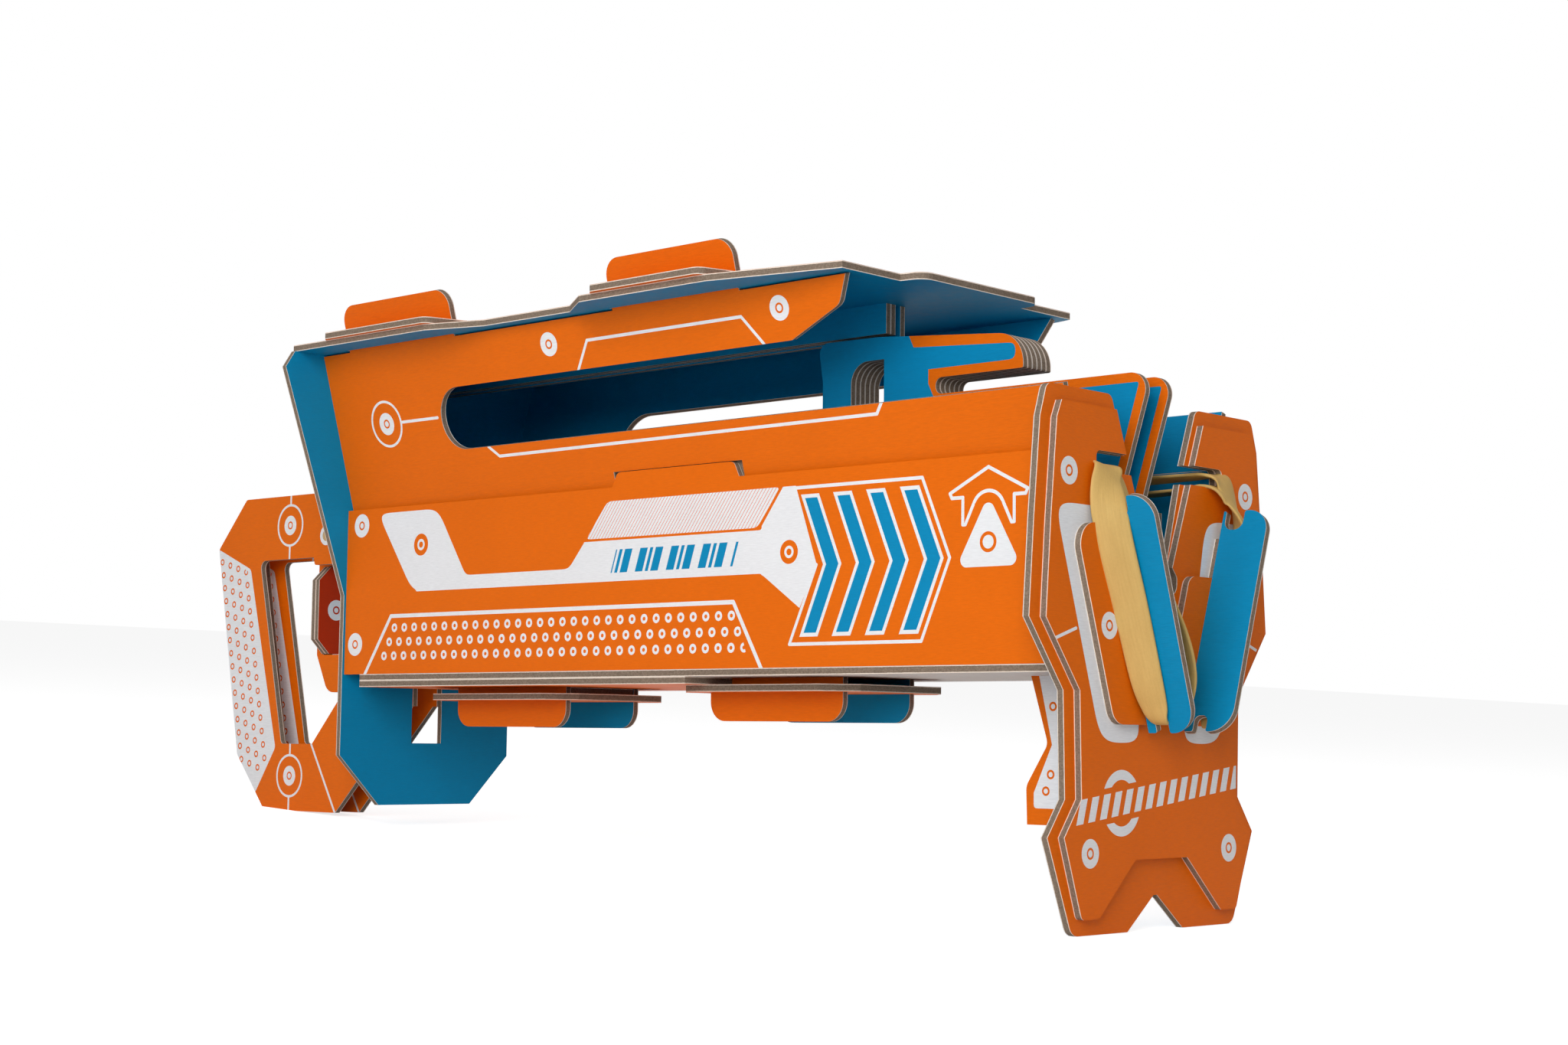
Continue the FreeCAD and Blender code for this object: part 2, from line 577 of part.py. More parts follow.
def wing_corners():
    """Outline of a wing: x forward, v along the lean from its middle; notches hold the band."""
    half, front = WING_HALF, WING_FRONT
    return [(BOARD, half), (BOARD + 0.8, half, 0.4), (BOARD + 0.8, half - 5.2, 2.4), (8.2, half - 5.2, 2.4),
            (8.2, half, 0.6), (front, half, 6.0), (front, -half, 6.4), (8.2, -half, 0.6), (8.2, 4.2 - half, 1.6),
            (4.4, 4.2 - half, 1.6), (4.4, -half, 0.6), (BOARD, -half), (BOARD, -WING_TAB),
            (PLATE_BACK, -WING_TAB), (PLATE_BACK, WING_TAB), (BOARD, WING_TAB)]


def wing():
    """Right-hand wing that a rubber band hooks round."""
    upright = [(x, WING_BASE[1] + v, *rest) for x, v, *rest in wing_corners()]
    return leaning(board_xz(upright, -WING_BASE[0]), WING_BASE, LEAN)


def wing_tab_slot():
    """Slot for a wing's tab through the pad and the front plates."""
    y, z = WING_BASE
    tool = block((PLATE_BACK - BOARD, BOARD), (-y, -y + BOARD), (z - WING_TAB, z + WING_TAB))
    return leaning(tool, WING_BASE, LEAN)


def wing_side(z, offset):
    """Y of a point at height z, offset inwards from the right-hand wing's outer face."""
    return -WING_BASE[0] - (z - WING_BASE[1]) * math.tan(math.radians(LEAN)) + offset


def pad():
    """Right-hand paddle pad on the outer front plate, with a shorter lobe inside the wing."""
    top, step, lobe, bottom = 33.6, 23.2, 1.0, -14.4
    reach = 13.6
    corners = [(wing_side(top, -reach), top, 5.5), (wing_side(top, 1.0), top), (wing_side(step, 1.0), step),
               (wing_side(step, reach - 1.5), step, 3.5), (wing_side(lobe, reach - 1.5), lobe, 3.0),
               (wing_side(lobe, 1.0), lobe), (wing_side(bottom, -0.4), bottom),
               (wing_side(bottom, -reach), bottom, 5.0)]
    return board_yz(corners, 0).cut(wing_tab_slot())


def fore_grip():
    """Left-hand fore grip plate under the floor, against the inner front plate."""
    corners = [(PLATE_BACK, -BOARD), (-35.7, -BOARD), (-30.4, -19.3, 3.0), (-37.2, -30.0, 4.0), (-36.9, -39.8),
               (PLATE_BACK, -39.8)]
    return board_xz(corners, HANDLE_INNER)


def fore_packing():
    """Packing between the fore grip plates."""
    count = round(2 * HANDLE_INNER / BOARD)
    corners = [(PLATE_BACK, -BOARD), (-24.0, -BOARD), (-24.0, -34.0, 2.0), (PLATE_BACK, -34.0)]
    return Part.makeCompound([board_xz(corners, -HANDLE_INNER + n * BOARD) for n in range(count)])


def strip(start, end, across):
    """Flat stretch of rubber band between two points; across is its width direction."""
    run = end - start
    side = Vector(across)
    side.normalize()
    side.multiply(BAND_WIDTH / 2)
    normal = run.cross(side).normalize() * (BAND_THICK / 2)
    loop = [start - side - normal, start + side - normal, start + side + normal, start - side + normal]
    return Part.Face(Part.makePolygon(loop + loop[:1])).extrude(run)


def rubber_band():
    """Right-hand rubber band: from the carriage's peg over the notch and down along the wing."""
    notch_out, notch_low, notch_high = BAND_NOTCH
    lift = BAND_THICK / 2 + FIT
    edge_y = -notch_out + 1.6 + BAND_WIDTH / 2
    outside = -(BAND_THICK + FIT)
    top_z = WING_BASE[1] + WING_HALF * math.cos(math.radians(LEAN)) + BAND_THICK
    low_z = 2 * WING_BASE[1] - top_z + BAND_WIDTH
    hook_x = BOARD + BAND_WIDTH / 2 + FIT
    peg = Vector(PEG[0], -CORE_HALF - BOARD - BAND_WIDTH / 2 - FIT, PEG[1] + PIN / 2 + lift)
    sill_back = Vector(PLATE_BACK - BOARD, edge_y, notch_low + lift)
    sill_front = Vector(BAND_THICK, edge_y, notch_low + lift)
    upper = Vector(hook_x, wing_side(top_z, outside), top_z)
    lower = Vector(hook_x, wing_side(low_z, outside), low_z)
    sideways = Vector(0, 1, 0)
    band = strip(peg, sill_back, sideways).fuse(strip(sill_back, sill_front, sideways))
    band = band.fuse(strip(sill_front, upper, sideways)).fuse(strip(upper, lower, Vector(1, 0, 0)))
    return band.removeSplitter()


# ---------------------------------------------------------------- the whole assembly

def body_nodes():
    """Panels, deck, floor, rails and ribs."""
    lower, upper, rail, run = lower_side(), upper_side(), inner_rail(), runner()
    nodes = {
        "lower_side_right": lower, "lower_side_left": mirrored(lower),
        "upper_side_right": upper, "upper_side_left": mirrored(upper),
        "top_deck": top_deck(),
        "deck_lock_rear": deck_lock(0), "deck_lock_front": deck_lock(1),
        "spine_board_right": spine_board(-CORE_HALF), "spine_board_middle": spine_board(-CORE_HALF + BOARD),
        "spine_board_left": spine_board(CORE_HALF - BOARD),
        "floor_board": floor_layer(1, FLOOR_REAR, PLATE_BACK, SIDE_HALF),
        "floor_doubler": floor_layer(2, FLOOR_REAR, DOUBLER_FRONT, SIDE_HALF),
        "floor_spacer": floor_layer(3, FLOOR_TABS[0][0], FLOOR_TABS[0][1], RAIL_INNER - FIT),
        "floor_lock_rear": floor_lock(FLOOR_TABS[0], LOCK_TOPS[0]),
        "floor_lock_front": floor_lock(FLOOR_TABS[1], LOCK_TOPS[1]),
        "inner_rail_left": rail, "inner_rail_right": mirrored(rail),
        "runner_left": run, "runner_right": mirrored(run),
        "rear_bulkhead": bulkhead(),
    }
    for name, x in zip(("rear", "middle", "front"), RIB_PLACES):
        nodes["rib_" + name] = rib(x)
    return nodes


def front_nodes():
    """Front plates, paddles, fore grip and rubber bands."""
    inner, outer = front_plates()
    blade, face, grip, band = wing(), pad(), fore_grip(), rubber_band()
    return {
        "front_plate_inner": inner, "front_plate_outer": outer,
        "paddle_wing_right": blade, "paddle_wing_left": mirrored(blade),
        "paddle_pad_right": face, "paddle_pad_left": mirrored(face),
        "fore_grip_left": grip, "fore_grip_right": mirrored(grip), "fore_grip_packing": fore_packing(),
        "rubber_band_right": band, "rubber_band_left": mirrored(band),
    }


def handle_nodes():
    """Handle, trigger, link and sear."""
    plate, cheek = handle_plate(), trigger_cheek()
    grip = [(REAR - 95.5, ARM_LOW + 2.7, 2.0), (REAR - 102.5, ARM_LOW - 1.3, 2.0),
            (REAR - 88.5, HANDLE_BOTTOM + 19.1, 2.0), (REAR - 81.0, HANDLE_BOTTOM + 19.1, 2.0)]
    foot_rear, foot_front = REAR - 66.5, REAR - 46.5
    foot_low, foot_high = HANDLE_BOTTOM + 5.1, HANDLE_BOTTOM + 17.1
    foot = [(foot_rear, foot_high), (foot_rear, foot_low), (foot_front, foot_low), (foot_front, foot_high)]
    return {
        "handle_plate_left": plate, "handle_plate_right": mirrored(plate),
        "handle_grip_packing": handle_packing(grip), "handle_foot_packing": handle_packing(foot),
        "link_guide": link_guide(),
        "trigger_cheek_left": cheek, "trigger_cheek_right": mirrored(cheek),
        "trigger_core": trigger_core(),
        "trigger_pad_front": trigger_pad(0), "trigger_pad_rear": trigger_pad(1),
        "trigger_pin": pin_y(PIVOT, HANDLE_INNER + 2 * BOARD + FIT, PIN / 2),
        "push_link": push_link(), "sear": sear(),
        "sear_pin": pin_y(SEAR_PIVOT, HANDLE_INNER + BOARD, PIN / 2),
    }


def carriage_nodes():
    """Carriage boards, shoe and peg."""
    outer = carriage_outer()
    nodes = {
        "carriage_outer_left": outer, "carriage_outer_right": mirrored(outer),
        "carriage_shoe": shoe(),
        "band_peg": pin_y(PEG, RAIL_INNER - FIT, PIN / 2),
    }
    for n in range(round(2 * CORE_HALF / BOARD)):
        nodes[f"carriage_core_{n + 1}"] = carriage_core(-CORE_HALF + n * BOARD)
    return nodes


def main():
    """Write one STEP file for each piece."""
    os.makedirs("parts", exist_ok=True)
    for group in (body_nodes(), front_nodes(), handle_nodes(), carriage_nodes()):
        for name, shape in group.items():
            shape.exportStep(f"parts/{name}.step")
            print(name, len(shape.Solids), round(shape.Volume, 1), shape.isValid())


main()
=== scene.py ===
"""Looks of the slot-together board launcher: printed greyboard, wooden pins and rubber bands.

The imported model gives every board's place. Each board keeps its shape and gets a printed finish whose
artwork is worked out from the board's own plane; the two rubber bands are new pieces.
Lengths in the artwork and in the band paths are millimetres in the object's frame.
"""

import json
import logging
import math
from dataclasses import dataclass
from enum import Enum
from typing import Callable, Optional, Sequence, Union

import bpy
import numpy as np
from mathutils import Matrix, Vector

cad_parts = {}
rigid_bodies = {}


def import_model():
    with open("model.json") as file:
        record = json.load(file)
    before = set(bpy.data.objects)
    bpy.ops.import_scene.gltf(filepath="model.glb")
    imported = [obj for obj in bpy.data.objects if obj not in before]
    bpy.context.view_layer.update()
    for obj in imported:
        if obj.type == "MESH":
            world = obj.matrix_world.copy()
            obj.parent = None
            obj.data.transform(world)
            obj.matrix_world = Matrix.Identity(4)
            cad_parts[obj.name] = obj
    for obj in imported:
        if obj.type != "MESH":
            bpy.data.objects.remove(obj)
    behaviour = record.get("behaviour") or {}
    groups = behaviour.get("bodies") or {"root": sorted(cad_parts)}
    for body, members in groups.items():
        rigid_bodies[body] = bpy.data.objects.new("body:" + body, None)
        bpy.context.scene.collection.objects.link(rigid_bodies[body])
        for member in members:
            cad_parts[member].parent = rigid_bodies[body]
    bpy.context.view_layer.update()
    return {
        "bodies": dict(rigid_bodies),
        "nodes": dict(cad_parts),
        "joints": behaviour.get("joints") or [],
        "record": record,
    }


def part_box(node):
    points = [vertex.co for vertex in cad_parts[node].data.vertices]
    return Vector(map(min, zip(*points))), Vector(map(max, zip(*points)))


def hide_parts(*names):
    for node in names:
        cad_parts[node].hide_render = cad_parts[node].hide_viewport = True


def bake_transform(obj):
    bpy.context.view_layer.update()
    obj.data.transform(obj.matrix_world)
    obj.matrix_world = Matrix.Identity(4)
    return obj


LOG = logging.getLogger("launcher")
MM = 0.001
PLY = 2.0                 # thickness of one greyboard sheet

Pair = tuple[float, float]
Triple = tuple[float, float, float]


# ---------------------------------------------------------------- colours

@dataclass(frozen=True)
class Colour:
    """A colour as a screen shows it, each part from 0 to 255."""

    red: int
    green: int
    blue: int

    def linear(self) -> tuple[float, float, float, float]:
        """The same colour as the renderer's linear numbers, with full alpha."""
        parts = [c / 255 for c in (self.red, self.green, self.blue)]
        return tuple(c / 12.92 if c <= 0.04045 else ((c + 0.055) / 1.055) ** 2.4 for c in parts) + (1.0,)


class Ink(Enum):
    """The inks printed on the boards, the bare board, and a darker red-orange that is orange with painted
    shade.
    """

    ORANGE = Colour(234, 108, 2)
    # orange with painted shade: a darker red-orange that stands in for the shade on the trigger pad's forward
    # face
    ORANGE_WITH_PAINTED_SHADE = Colour(196, 52, 12)
    BLUE = Colour(0, 138, 188)
    WHITE = Colour(240, 241, 243)
    KRAFT = Colour(214, 202, 192)


class Stock(Enum):
    """The colours inside a board and of the small parts."""

    CORE = Colour(150, 133, 116)
    CORE_DARK = Colour(104, 89, 76)
    LINER = Colour(240, 224, 208)
    # near-black line between plies: the joint itself plus painted shade in the gap between the sheets
    SEAM_WITH_PAINTED_SHADE = Colour(48, 40, 34)
    BAND = Colour(214, 178, 104)
    BAND_DARK = Colour(188, 148, 78)
    WOOD = Colour(212, 178, 128)
    WOOD_DARK = Colour(176, 136, 88)


# ---------------------------------------------------------------- shader arithmetic

class Signal:
    """A socket that varies over a surface; arithmetic on it adds the nodes that work it out."""

    def __init__(self, shop: "Shop", socket: bpy.types.NodeSocket) -> None:
        """Wrap a socket of the shop's material."""
        self.shop = shop
        self.socket = socket

    def math(self, operation: str, *others: Union["Signal", float]) -> "Signal":
        """Add one Math node.

        Args:
            operation: the node's operation.
            others: its second and third values.

        Returns:
            The node's result.
        """
        inputs = dict(enumerate((self, *others)))
        return self.shop.signal("ShaderNodeMath", {"operation": operation}, inputs)

    def __add__(self, other: Union["Signal", float]) -> "Signal":
        """Sum."""
        return self.math("ADD", other)

    __radd__ = __add__

    def __sub__(self, other: Union["Signal", float]) -> "Signal":
        """Difference."""
        return self.math("SUBTRACT", other)

    def __rsub__(self, other: float) -> "Signal":
        """Difference from a plain number."""
        return self.shop.signal("ShaderNodeMath", {"operation": "SUBTRACT"}, {0: other, 1: self})

    def __mul__(self, other: Union["Signal", float]) -> "Signal":
        """Product."""
        return self.math("MULTIPLY", other)

    __rmul__ = __mul__

    def __truediv__(self, other: Union["Signal", float]) -> "Signal":
        """Quotient."""
        return self.math("DIVIDE", other)

    def __neg__(self) -> "Signal":
        """Opposite."""
        return self * -1.0

    def __abs__(self) -> "Signal":
        """Size without its sign."""
        return self.math("ABSOLUTE")

    def __lt__(self, limit: Union["Signal", float]) -> "Signal":
        """1 where smaller than the limit, 0 elsewhere."""
        return self.math("LESS_THAN", limit)

    def __gt__(self, limit: Union["Signal", float]) -> "Signal":
        """1 where larger than the limit, 0 elsewhere."""
        return self.math("GREATER_THAN", limit)

    def least(self, other: Union["Signal", float], soft: float = 0.0) -> "Signal":
        """The smaller of two values, with the corner between them rounded over soft."""
        return self.math("SMOOTH_MIN", other, soft) if soft else self.math("MINIMUM", other)

    def most(self, other: Union["Signal", float], soft: float = 0.0) -> "Signal":
        """The larger of two values, with the corner between them rounded over soft."""
        return self.math("SMOOTH_MAX", other, soft) if soft else self.math("MAXIMUM", other)

    def wrapped(self, period: float) -> "Signal":
        """The value less whole periods, from minus half a period to half a period."""
        return self.math("WRAP", period / 2, -period / 2)

    def vector(self, operation: str, other: Sequence[float], output: int = 0) -> "Signal":
        """Add one Vector Math node between this vector and a constant one."""
        return self.shop.signal("ShaderNodeVectorMath", {"operation": operation}, {0: self, 1: other}, output)

    def along(self, direction: Sequence[float]) -> "Signal":
        """How far this point lies along a direction: their dot product."""
        return self.vector("DOT_PRODUCT", tuple(direction), 1)

    def away(self, point: Sequence[float]) -> "Signal":
        """Distance from this point to a constant one."""
        return self.vector("DISTANCE", tuple(point), 1)


class Shop:
    """One material, or the world, in the making: its node tree and the ways to add to it."""

    def __init__(self, name: str, owners: Optional[bpy.types.bpy_prop_collection] = None) -> None:
        """Start an empty material with that name, or another owner of nodes."""
        self.material = (bpy.data.materials if owners is None else owners).new(name)
        self.material.use_nodes = True
        self.tree = self.material.node_tree
        self.tree.nodes.clear()

    def node(self, kind: str, settings: Optional[dict] = None,
             inputs: Optional[dict] = None) -> bpy.types.Node:
        """Add a node.

        Args:
            kind: the node's type.
            settings: its own settings, which are set first.
            inputs: value, signal or socket for each of its inputs, by name or number.

        Returns:
            The node.
        """
        made = self.tree.nodes.new(kind)
        for key, value in (settings or {}).items():
            setattr(made, key, value)
        for key, value in (inputs or {}).items():
            value = getattr(value, "socket", value)
            if isinstance(value, bpy.types.NodeSocket):
                self.tree.links.new(value, made.inputs[key])
            else:
                made.inputs[key].default_value = value
        return made

    def signal(self, kind: str, settings: Optional[dict] = None, inputs: Optional[dict] = None,
               output: Union[int, str] = 0) -> Signal:
        """Add a node and give one of its outputs as a signal."""
        return Signal(self, self.node(kind, settings, inputs).outputs[output])

    def place(self) -> Signal:
        """The point on the surface, in millimetres in the object's frame."""
        spot = self.signal("ShaderNodeTexCoord", output="Object")
        return self.signal("ShaderNodeVectorMath", {"operation": "SCALE"}, {0: spot, "Scale": 1 / MM})

    def joined(self, x: Signal, y: Signal) -> Signal:
        """A flat point from its two coordinates."""
        return self.signal("ShaderNodeCombineXYZ", inputs={0: x, 1: y})

    def noise(self, point: Signal, pitch: Triple, detail: float = 2.0) -> Signal:
        """Noise around 0, from about -1 to 1.

        Args:
            point: where it is read, in millimetres.
            pitch: size of its grains along X, Y and Z, in millimetres.
            detail: how many finer layers it has.

        Returns:
            The noise.
        """
        squeezed = point.vector("DIVIDE", pitch)
        value = self.signal("ShaderNodeTexNoise", {"noise_dimensions": "3D"},
                            {"Vector": squeezed, "Scale": 1.0, "Detail": detail, "Roughness": 0.6})
        return (value - 0.5) * 2.0

    def paint(self, below: Union[Signal, tuple], above: Union[Signal, tuple], mask: Signal) -> Signal:
        """One colour laid over another where the mask is 1."""
        return self.signal("ShaderNodeMix", {"data_type": "RGBA"}, {0: mask, 6: below, 7: above}, 2)

    def shaded(self, colour: Signal, factor: Signal) -> Signal:
        """A colour made lighter or darker by a factor."""
        return self.signal("ShaderNodeVectorMath", {"operation": "SCALE"}, {0: colour, "Scale": factor})

    def finish(self, colour: Signal, roughness: Signal, height: Signal, depth: float,
               constants: Optional[dict] = None) -> bpy.types.Material:
        """Close the material.

        Args:
            colour: the base colour.
            roughness: how matt it is.
            height: the relief, around 0.
            depth: what a relief of 1 measures, in millimetres.
            constants: the shader's own values that are the same everywhere.

        Returns:
            The material.
        """
        bump = self.signal("ShaderNodeBump",
                           inputs={"Height": height, "Distance": depth * MM, "Strength": 1.0})
        shader = self.node("ShaderNodeBsdfPrincipled", inputs={
            "Base Color": colour, "Roughness": roughness, "Normal": bump, **(constants or {})})
        self.node("ShaderNodeOutputMaterial", inputs={"Surface": shader.outputs[0]})
        return self.material


# ---------------------------------------------------------------- flat shapes
# Each gives the distance to its outline in millimetres, below 0 inside.

def half_plane(paper: Signal, start: Pair, end: Pair) -> Signal:
    """Everything to the left of a line.

    Args:
        paper: the flat point.
        start: where the line starts.
        end: where it ends.

    Returns:
        Distance to the line, below 0 on its left.
    """
    run = np.subtract(end, start)
    outward = np.array([run[1], -run[0]]) / np.hypot(*run)
    return paper.along((*outward, 0.0)) - float(outward @ np.array(start))


def convex(paper: Signal, corners: Sequence[Pair], soft: float = 0.0) -> Signal:
    """Convex shape: the largest of its sides' half planes.

    Args:
        paper: the flat point.
        corners: its corners, anticlockwise.
        soft: how much its corners are rounded.

    Returns:
        Distance to its outline.
    """
    sides = [half_plane(paper, a, b) for a, b in zip(corners, [*corners[1:], corners[0]])]
    result = sides[0]
    for side in sides[1:]:
        result = result.most(side, soft)
    return result


def stroke(paper: Signal, points: Sequence[Pair], width: float) -> Signal:
    """Line of a given width through the points: distance to the nearest of its straight runs.

    Args:
        paper: the flat point.
        points: the ends of its runs.
        width: how wide the line is.

    Returns:
        Distance to its outline.
    """
    result = None
    for a, b in zip(points, points[1:]):
        run = np.subtract(b, a)
        from_start = paper.vector("SUBTRACT", (*a, 0.0))
        share = from_start.along((*(run / (run @ run)), 0.0)).most(0.0).least(1.0)
        nearest = paper.shop.signal("ShaderNodeVectorMath", {"operation": "SCALE"},
                                    {0: (*run, 0.0), "Scale": share})
        gap = paper.shop.signal("ShaderNodeVectorMath", {"operation": "DISTANCE"},
                                {0: from_start, 1: nearest}, 1)
        result = gap if result is None else result.least(gap)
    return result - width / 2


def ring(paper: Signal, centre: Pair, inner: float, outer: float) -> Signal:
    """Ring between two radii."""
    return abs(paper.away((*centre, 0.0)) - (inner + outer) / 2) - (outer - inner) / 2


def disc(paper: Signal, centre: Pair, radius: float) -> Signal:
    """Round disc."""
    return paper.away((*centre, 0.0)) - radius


def rivet(paper: Signal, centre: Pair, radius: float = 3.5) -> Signal:
    """White disc with a thin ring left open around its centre: the disc without that ring."""
    gap = paper.away((*centre, 0.0))
    return (gap - radius).most(0.27 - abs(gap - 1.15))


def union(*shapes: Signal) -> Signal:
    """Every shape together."""
    result = shapes[0]
    for shape in shapes[1:]:
        result = result.least(shape)
    return result


# ---------------------------------------------------------------- artwork
# An artwork takes the flat point of its board and gives its layers: an ink and the shape it fills.

Layer = tuple[Ink, Signal]
Artwork = Callable[[Signal], list[Layer]]
LINE = 0.9                # width of the thin printed lines


def label_strip(paper: Signal) -> Signal:
    """Long white label of a side panel, with its slanted head and its tail beside the chevrons.

    Args:
        paper: the flat point, along the body and up.

    Returns:
        Distance to its outline.
    """
    head = convex(paper, [(-252.3, 25.3), (-224.4, 25.3), (-241.1, 50.3), (-270.2, 50.3)], 6.0)
    strip = convex(paper, [(-250, 25.2), (-104, 25.2), (-104, 29.4), (-250, 29.4)])
    body = convex(paper, [(-184.8, 25.2), (-103, 25.2), (-103, 36.9), (-174.6, 36.9)])
    tail = convex(paper, [(-104.5, 24.9), (-90.8, 15.6), (-84.9, 26.8), (-92.6, 48.1), (-97.2, 48.1),
                          (-104.8, 38.0)])
    bar = head.least(strip, 2.5).least(body, 2.5).most(25.2 - paper.along((0, 1, 0)))
    shape = bar.least(tail, 1.5)
    return union(shape.most(-disc(paper, (-248.7, 39.6), 3.4)).most(-disc(paper, (-94.8, 30.6), 3.2)),
                 ring(paper, (-248.7, 39.6), 0.95, 1.75), ring(paper, (-94.8, 30.6), 0.9, 1.65))


def hatching(paper: Signal) -> Signal:
    """Hatched field over the label: slanted white lines 1.25 mm apart inside a slanted outline."""
    field = convex(paper, [(-174.0, 37.6), (-106.5, 37.6), (-98.2, 48.1), (-165.2, 48.1)], 2.0)
    across = paper.along((1.0, -0.75, 0.0)).wrapped(1.25)
    return field.most(abs(across) - 0.52)


def label_bars(paper: Signal) -> Signal:
    """Row of slanted bars on the label, of two widths in turn."""
    field = convex(paper, [(-163.5, 27.6), (-115.5, 27.6), (-113.3, 34.2), (-161.3, 34.2)])
    across = paper.along((1.0, -0.33, 0.0))
    bars = union(abs(across.wrapped(6.2)) - 1.5, abs((across - 3.1).wrapped(12.4)) - 0.6)
    return field.most(bars)


def ring_dots(paper: Signal) -> Signal:
    """Three staggered rows of small rings: two square lattices, half a step apart."""
    step, row = 4.835, 8.7
    u, v = paper.along((1, 0, 0)), paper.along((0, 1, 0))
    first = paper.shop.joined((u + 260.7).wrapped(step), (v - 5.55).wrapped(row))
    second = paper.shop.joined((u + 260.7 - step / 2).wrapped(step), v - 9.9)
    gap = first.away((0, 0, 0)).least(second.away((0, 0, 0)))
    field = convex(paper, [(-267.9, 3.6), (-109.9, 3.6), (-114.1, 16.2), (-262.0, 16.2)])
    return field.most(abs(gap - 0.95) - 0.4)


def chevrons(paper: Signal) -> tuple[Signal, Signal]:
    """Four chevrons in their frame.

    The field is folded about its middle height, so a chevron is one slanted band, repeated every step.

    Args:
        paper: the flat point, along the body and up.

    Returns:
        The white outlines and frame, and the blue bands.
    """
    middle, slope, step = 26.8, 0.43, 11.35
    u, v = paper.along((1, 0, 0)), abs(paper.along((0, 1, 0)) - middle)
    slanted = u + v * slope + 79.45
    band, ends = abs(slanted.wrapped(step)), abs(slanted - 1.5 * step) - 2 * step
    blue = (band - 2.15).most(v - 17.8).most(ends)
    white = (band - 3.2).most(v - 18.8).most(ends)
    folded = paper.shop.joined(u, v)
    frame = stroke(folded, [(-94.0, 20.7), (-49.3, 20.7), (-40.3, 0.0)], LINE)
    left = stroke(paper, [(-94.3, 6.1), (-85.0, middle)], LINE)
    return union(white, frame, left), blue


def arrow_mark(paper: Signal) -> Signal:
    """Outlined upward arrow with a round hollow, over a plain rounded triangle with an open ring."""
    middle = -28.2
    u, v = abs(paper.along((1, 0, 0)) - middle), paper.along((0, 1, 0))
    folded = paper.shop.joined(u, v)
    arrow = stroke(folded, [(0, 48.8), (12.1, 42.8), (11.5, 41.6), (8.0, 41.6), (8.0, 34.8), (7.2, 34.8),
                            (4.7, 39.7)], LINE)
    arch = ring(folded, (0, 37.9), 4.55, 5.45).most(39.9 - v)
    sides = stroke(folded, [(0, 38.0), (6.8, 26.0), (0, 26.0)], 3.8)
    middle_part = convex(folded, [(-1, 26), (6.8, 26), (0, 38.2), (-1, 38.2)])
    triangle = union(sides, middle_part).most(-ring(paper, (middle, 30.2), 1.7, 2.6))
    return union(arrow, arch, triangle)


def side_art(paper: Signal) -> list[Layer]:
    """Artwork of a lower side panel."""
    dots_frame = stroke(paper, [(-275.3, -0.5), (-262.6, 17.9), (-115.0, 17.9), (-104.2, -0.5)], 1.2)
    rivets = union(rivet(paper, (-278.4, 46.9), 3.7), rivet(paper, (-280.3, 9.4), 3.6))
    white, blue = chevrons(paper)
    base = union(label_strip(paper), hatching(paper), ring_dots(paper), dots_frame, rivets, white,
                 arrow_mark(paper))
    return [(Ink.WHITE, base), (Ink.BLUE, union(blue, label_bars(paper)))]


def flared_art(paper: Signal) -> list[Layer]:
    """Artwork of a flared panel: targets and bracket lines round the window."""
    lines = union(stroke(paper, [(-253.4, 26.4), (-236.0, 26.4)], LINE),
                  stroke(paper, [(-215.3, 15.9), (-211.0, 12.7), (-63.3, 13.2), (-60.9, 16.4)], LINE),
                  stroke(paper, [(-170.6, 34.9), (-165.0, 42.9), (-104.5, 43.0), (-97.9, 34.9)], LINE))
    marks = union(ring(paper, (-260.7, 26.4), 6.6, 7.4), rivet(paper, (-260.7, 26.4)),
                  rivet(paper, (-181.0, 43.4)), rivet(paper, (-90.4, 43.8), 3.4))
    return [(Ink.WHITE, union(lines, marks))]


def front_art(paper: Signal) -> list[Layer]:
    """Artwork of the outer front plate: rivets, white surrounds of the pads and a plain striped mark."""
    u, v = -abs(paper.along((1, 0, 0))), paper.along((0, 1, 0))
    folded = paper.shop.joined(u, v)
    rivets = union(rivet(folded, (-38.9, 45.6), 3.4), rivet(folded, (-30.2, -45.1)))
    surround = convex(folded, [(-26.0, -18.8), (-9.0, -18.8), (-20.0, 37.9), (-44.6, 37.9)], 9.0)
    link = stroke(folded, [(-36.0, 8.2), (-50.0, 3.7)], 0.8)
    mark = stripes_mark(paper)
    return [(Ink.WHITE, union(rivets, surround, link, mark))]


def stripes_mark(paper: Signal) -> Signal:
    """Plain mark: an open ring crossed by a gap, and a row of slanted bars beside it."""
    rising = paper.along((-0.12, 1.0, 0.0))
    circle = ring(paper, (-17.3, -33.3), 5.6, 8.0).most(4.3 - abs(rising + 31.2))
    bars = abs(paper.along((1.0, -0.3, 0.0)).wrapped(4.6)) - 1.35
    field = abs(rising + 31.2) - 2.9
    width = abs(paper.along((1.0, -0.3, 0.0)) - 9.2) - 34.5
    return union(circle, bars.most(field).most(width))


def pad_art(paper: Signal) -> list[Layer]:
    """Artwork of a paddle pad: one rivet."""
    folded = paper.shop.joined(-abs(paper.along((1, 0, 0))), paper.along((0, 1, 0)))
    return [(Ink.WHITE, rivet(folded, (-25.2, 9.2), 3.3))]


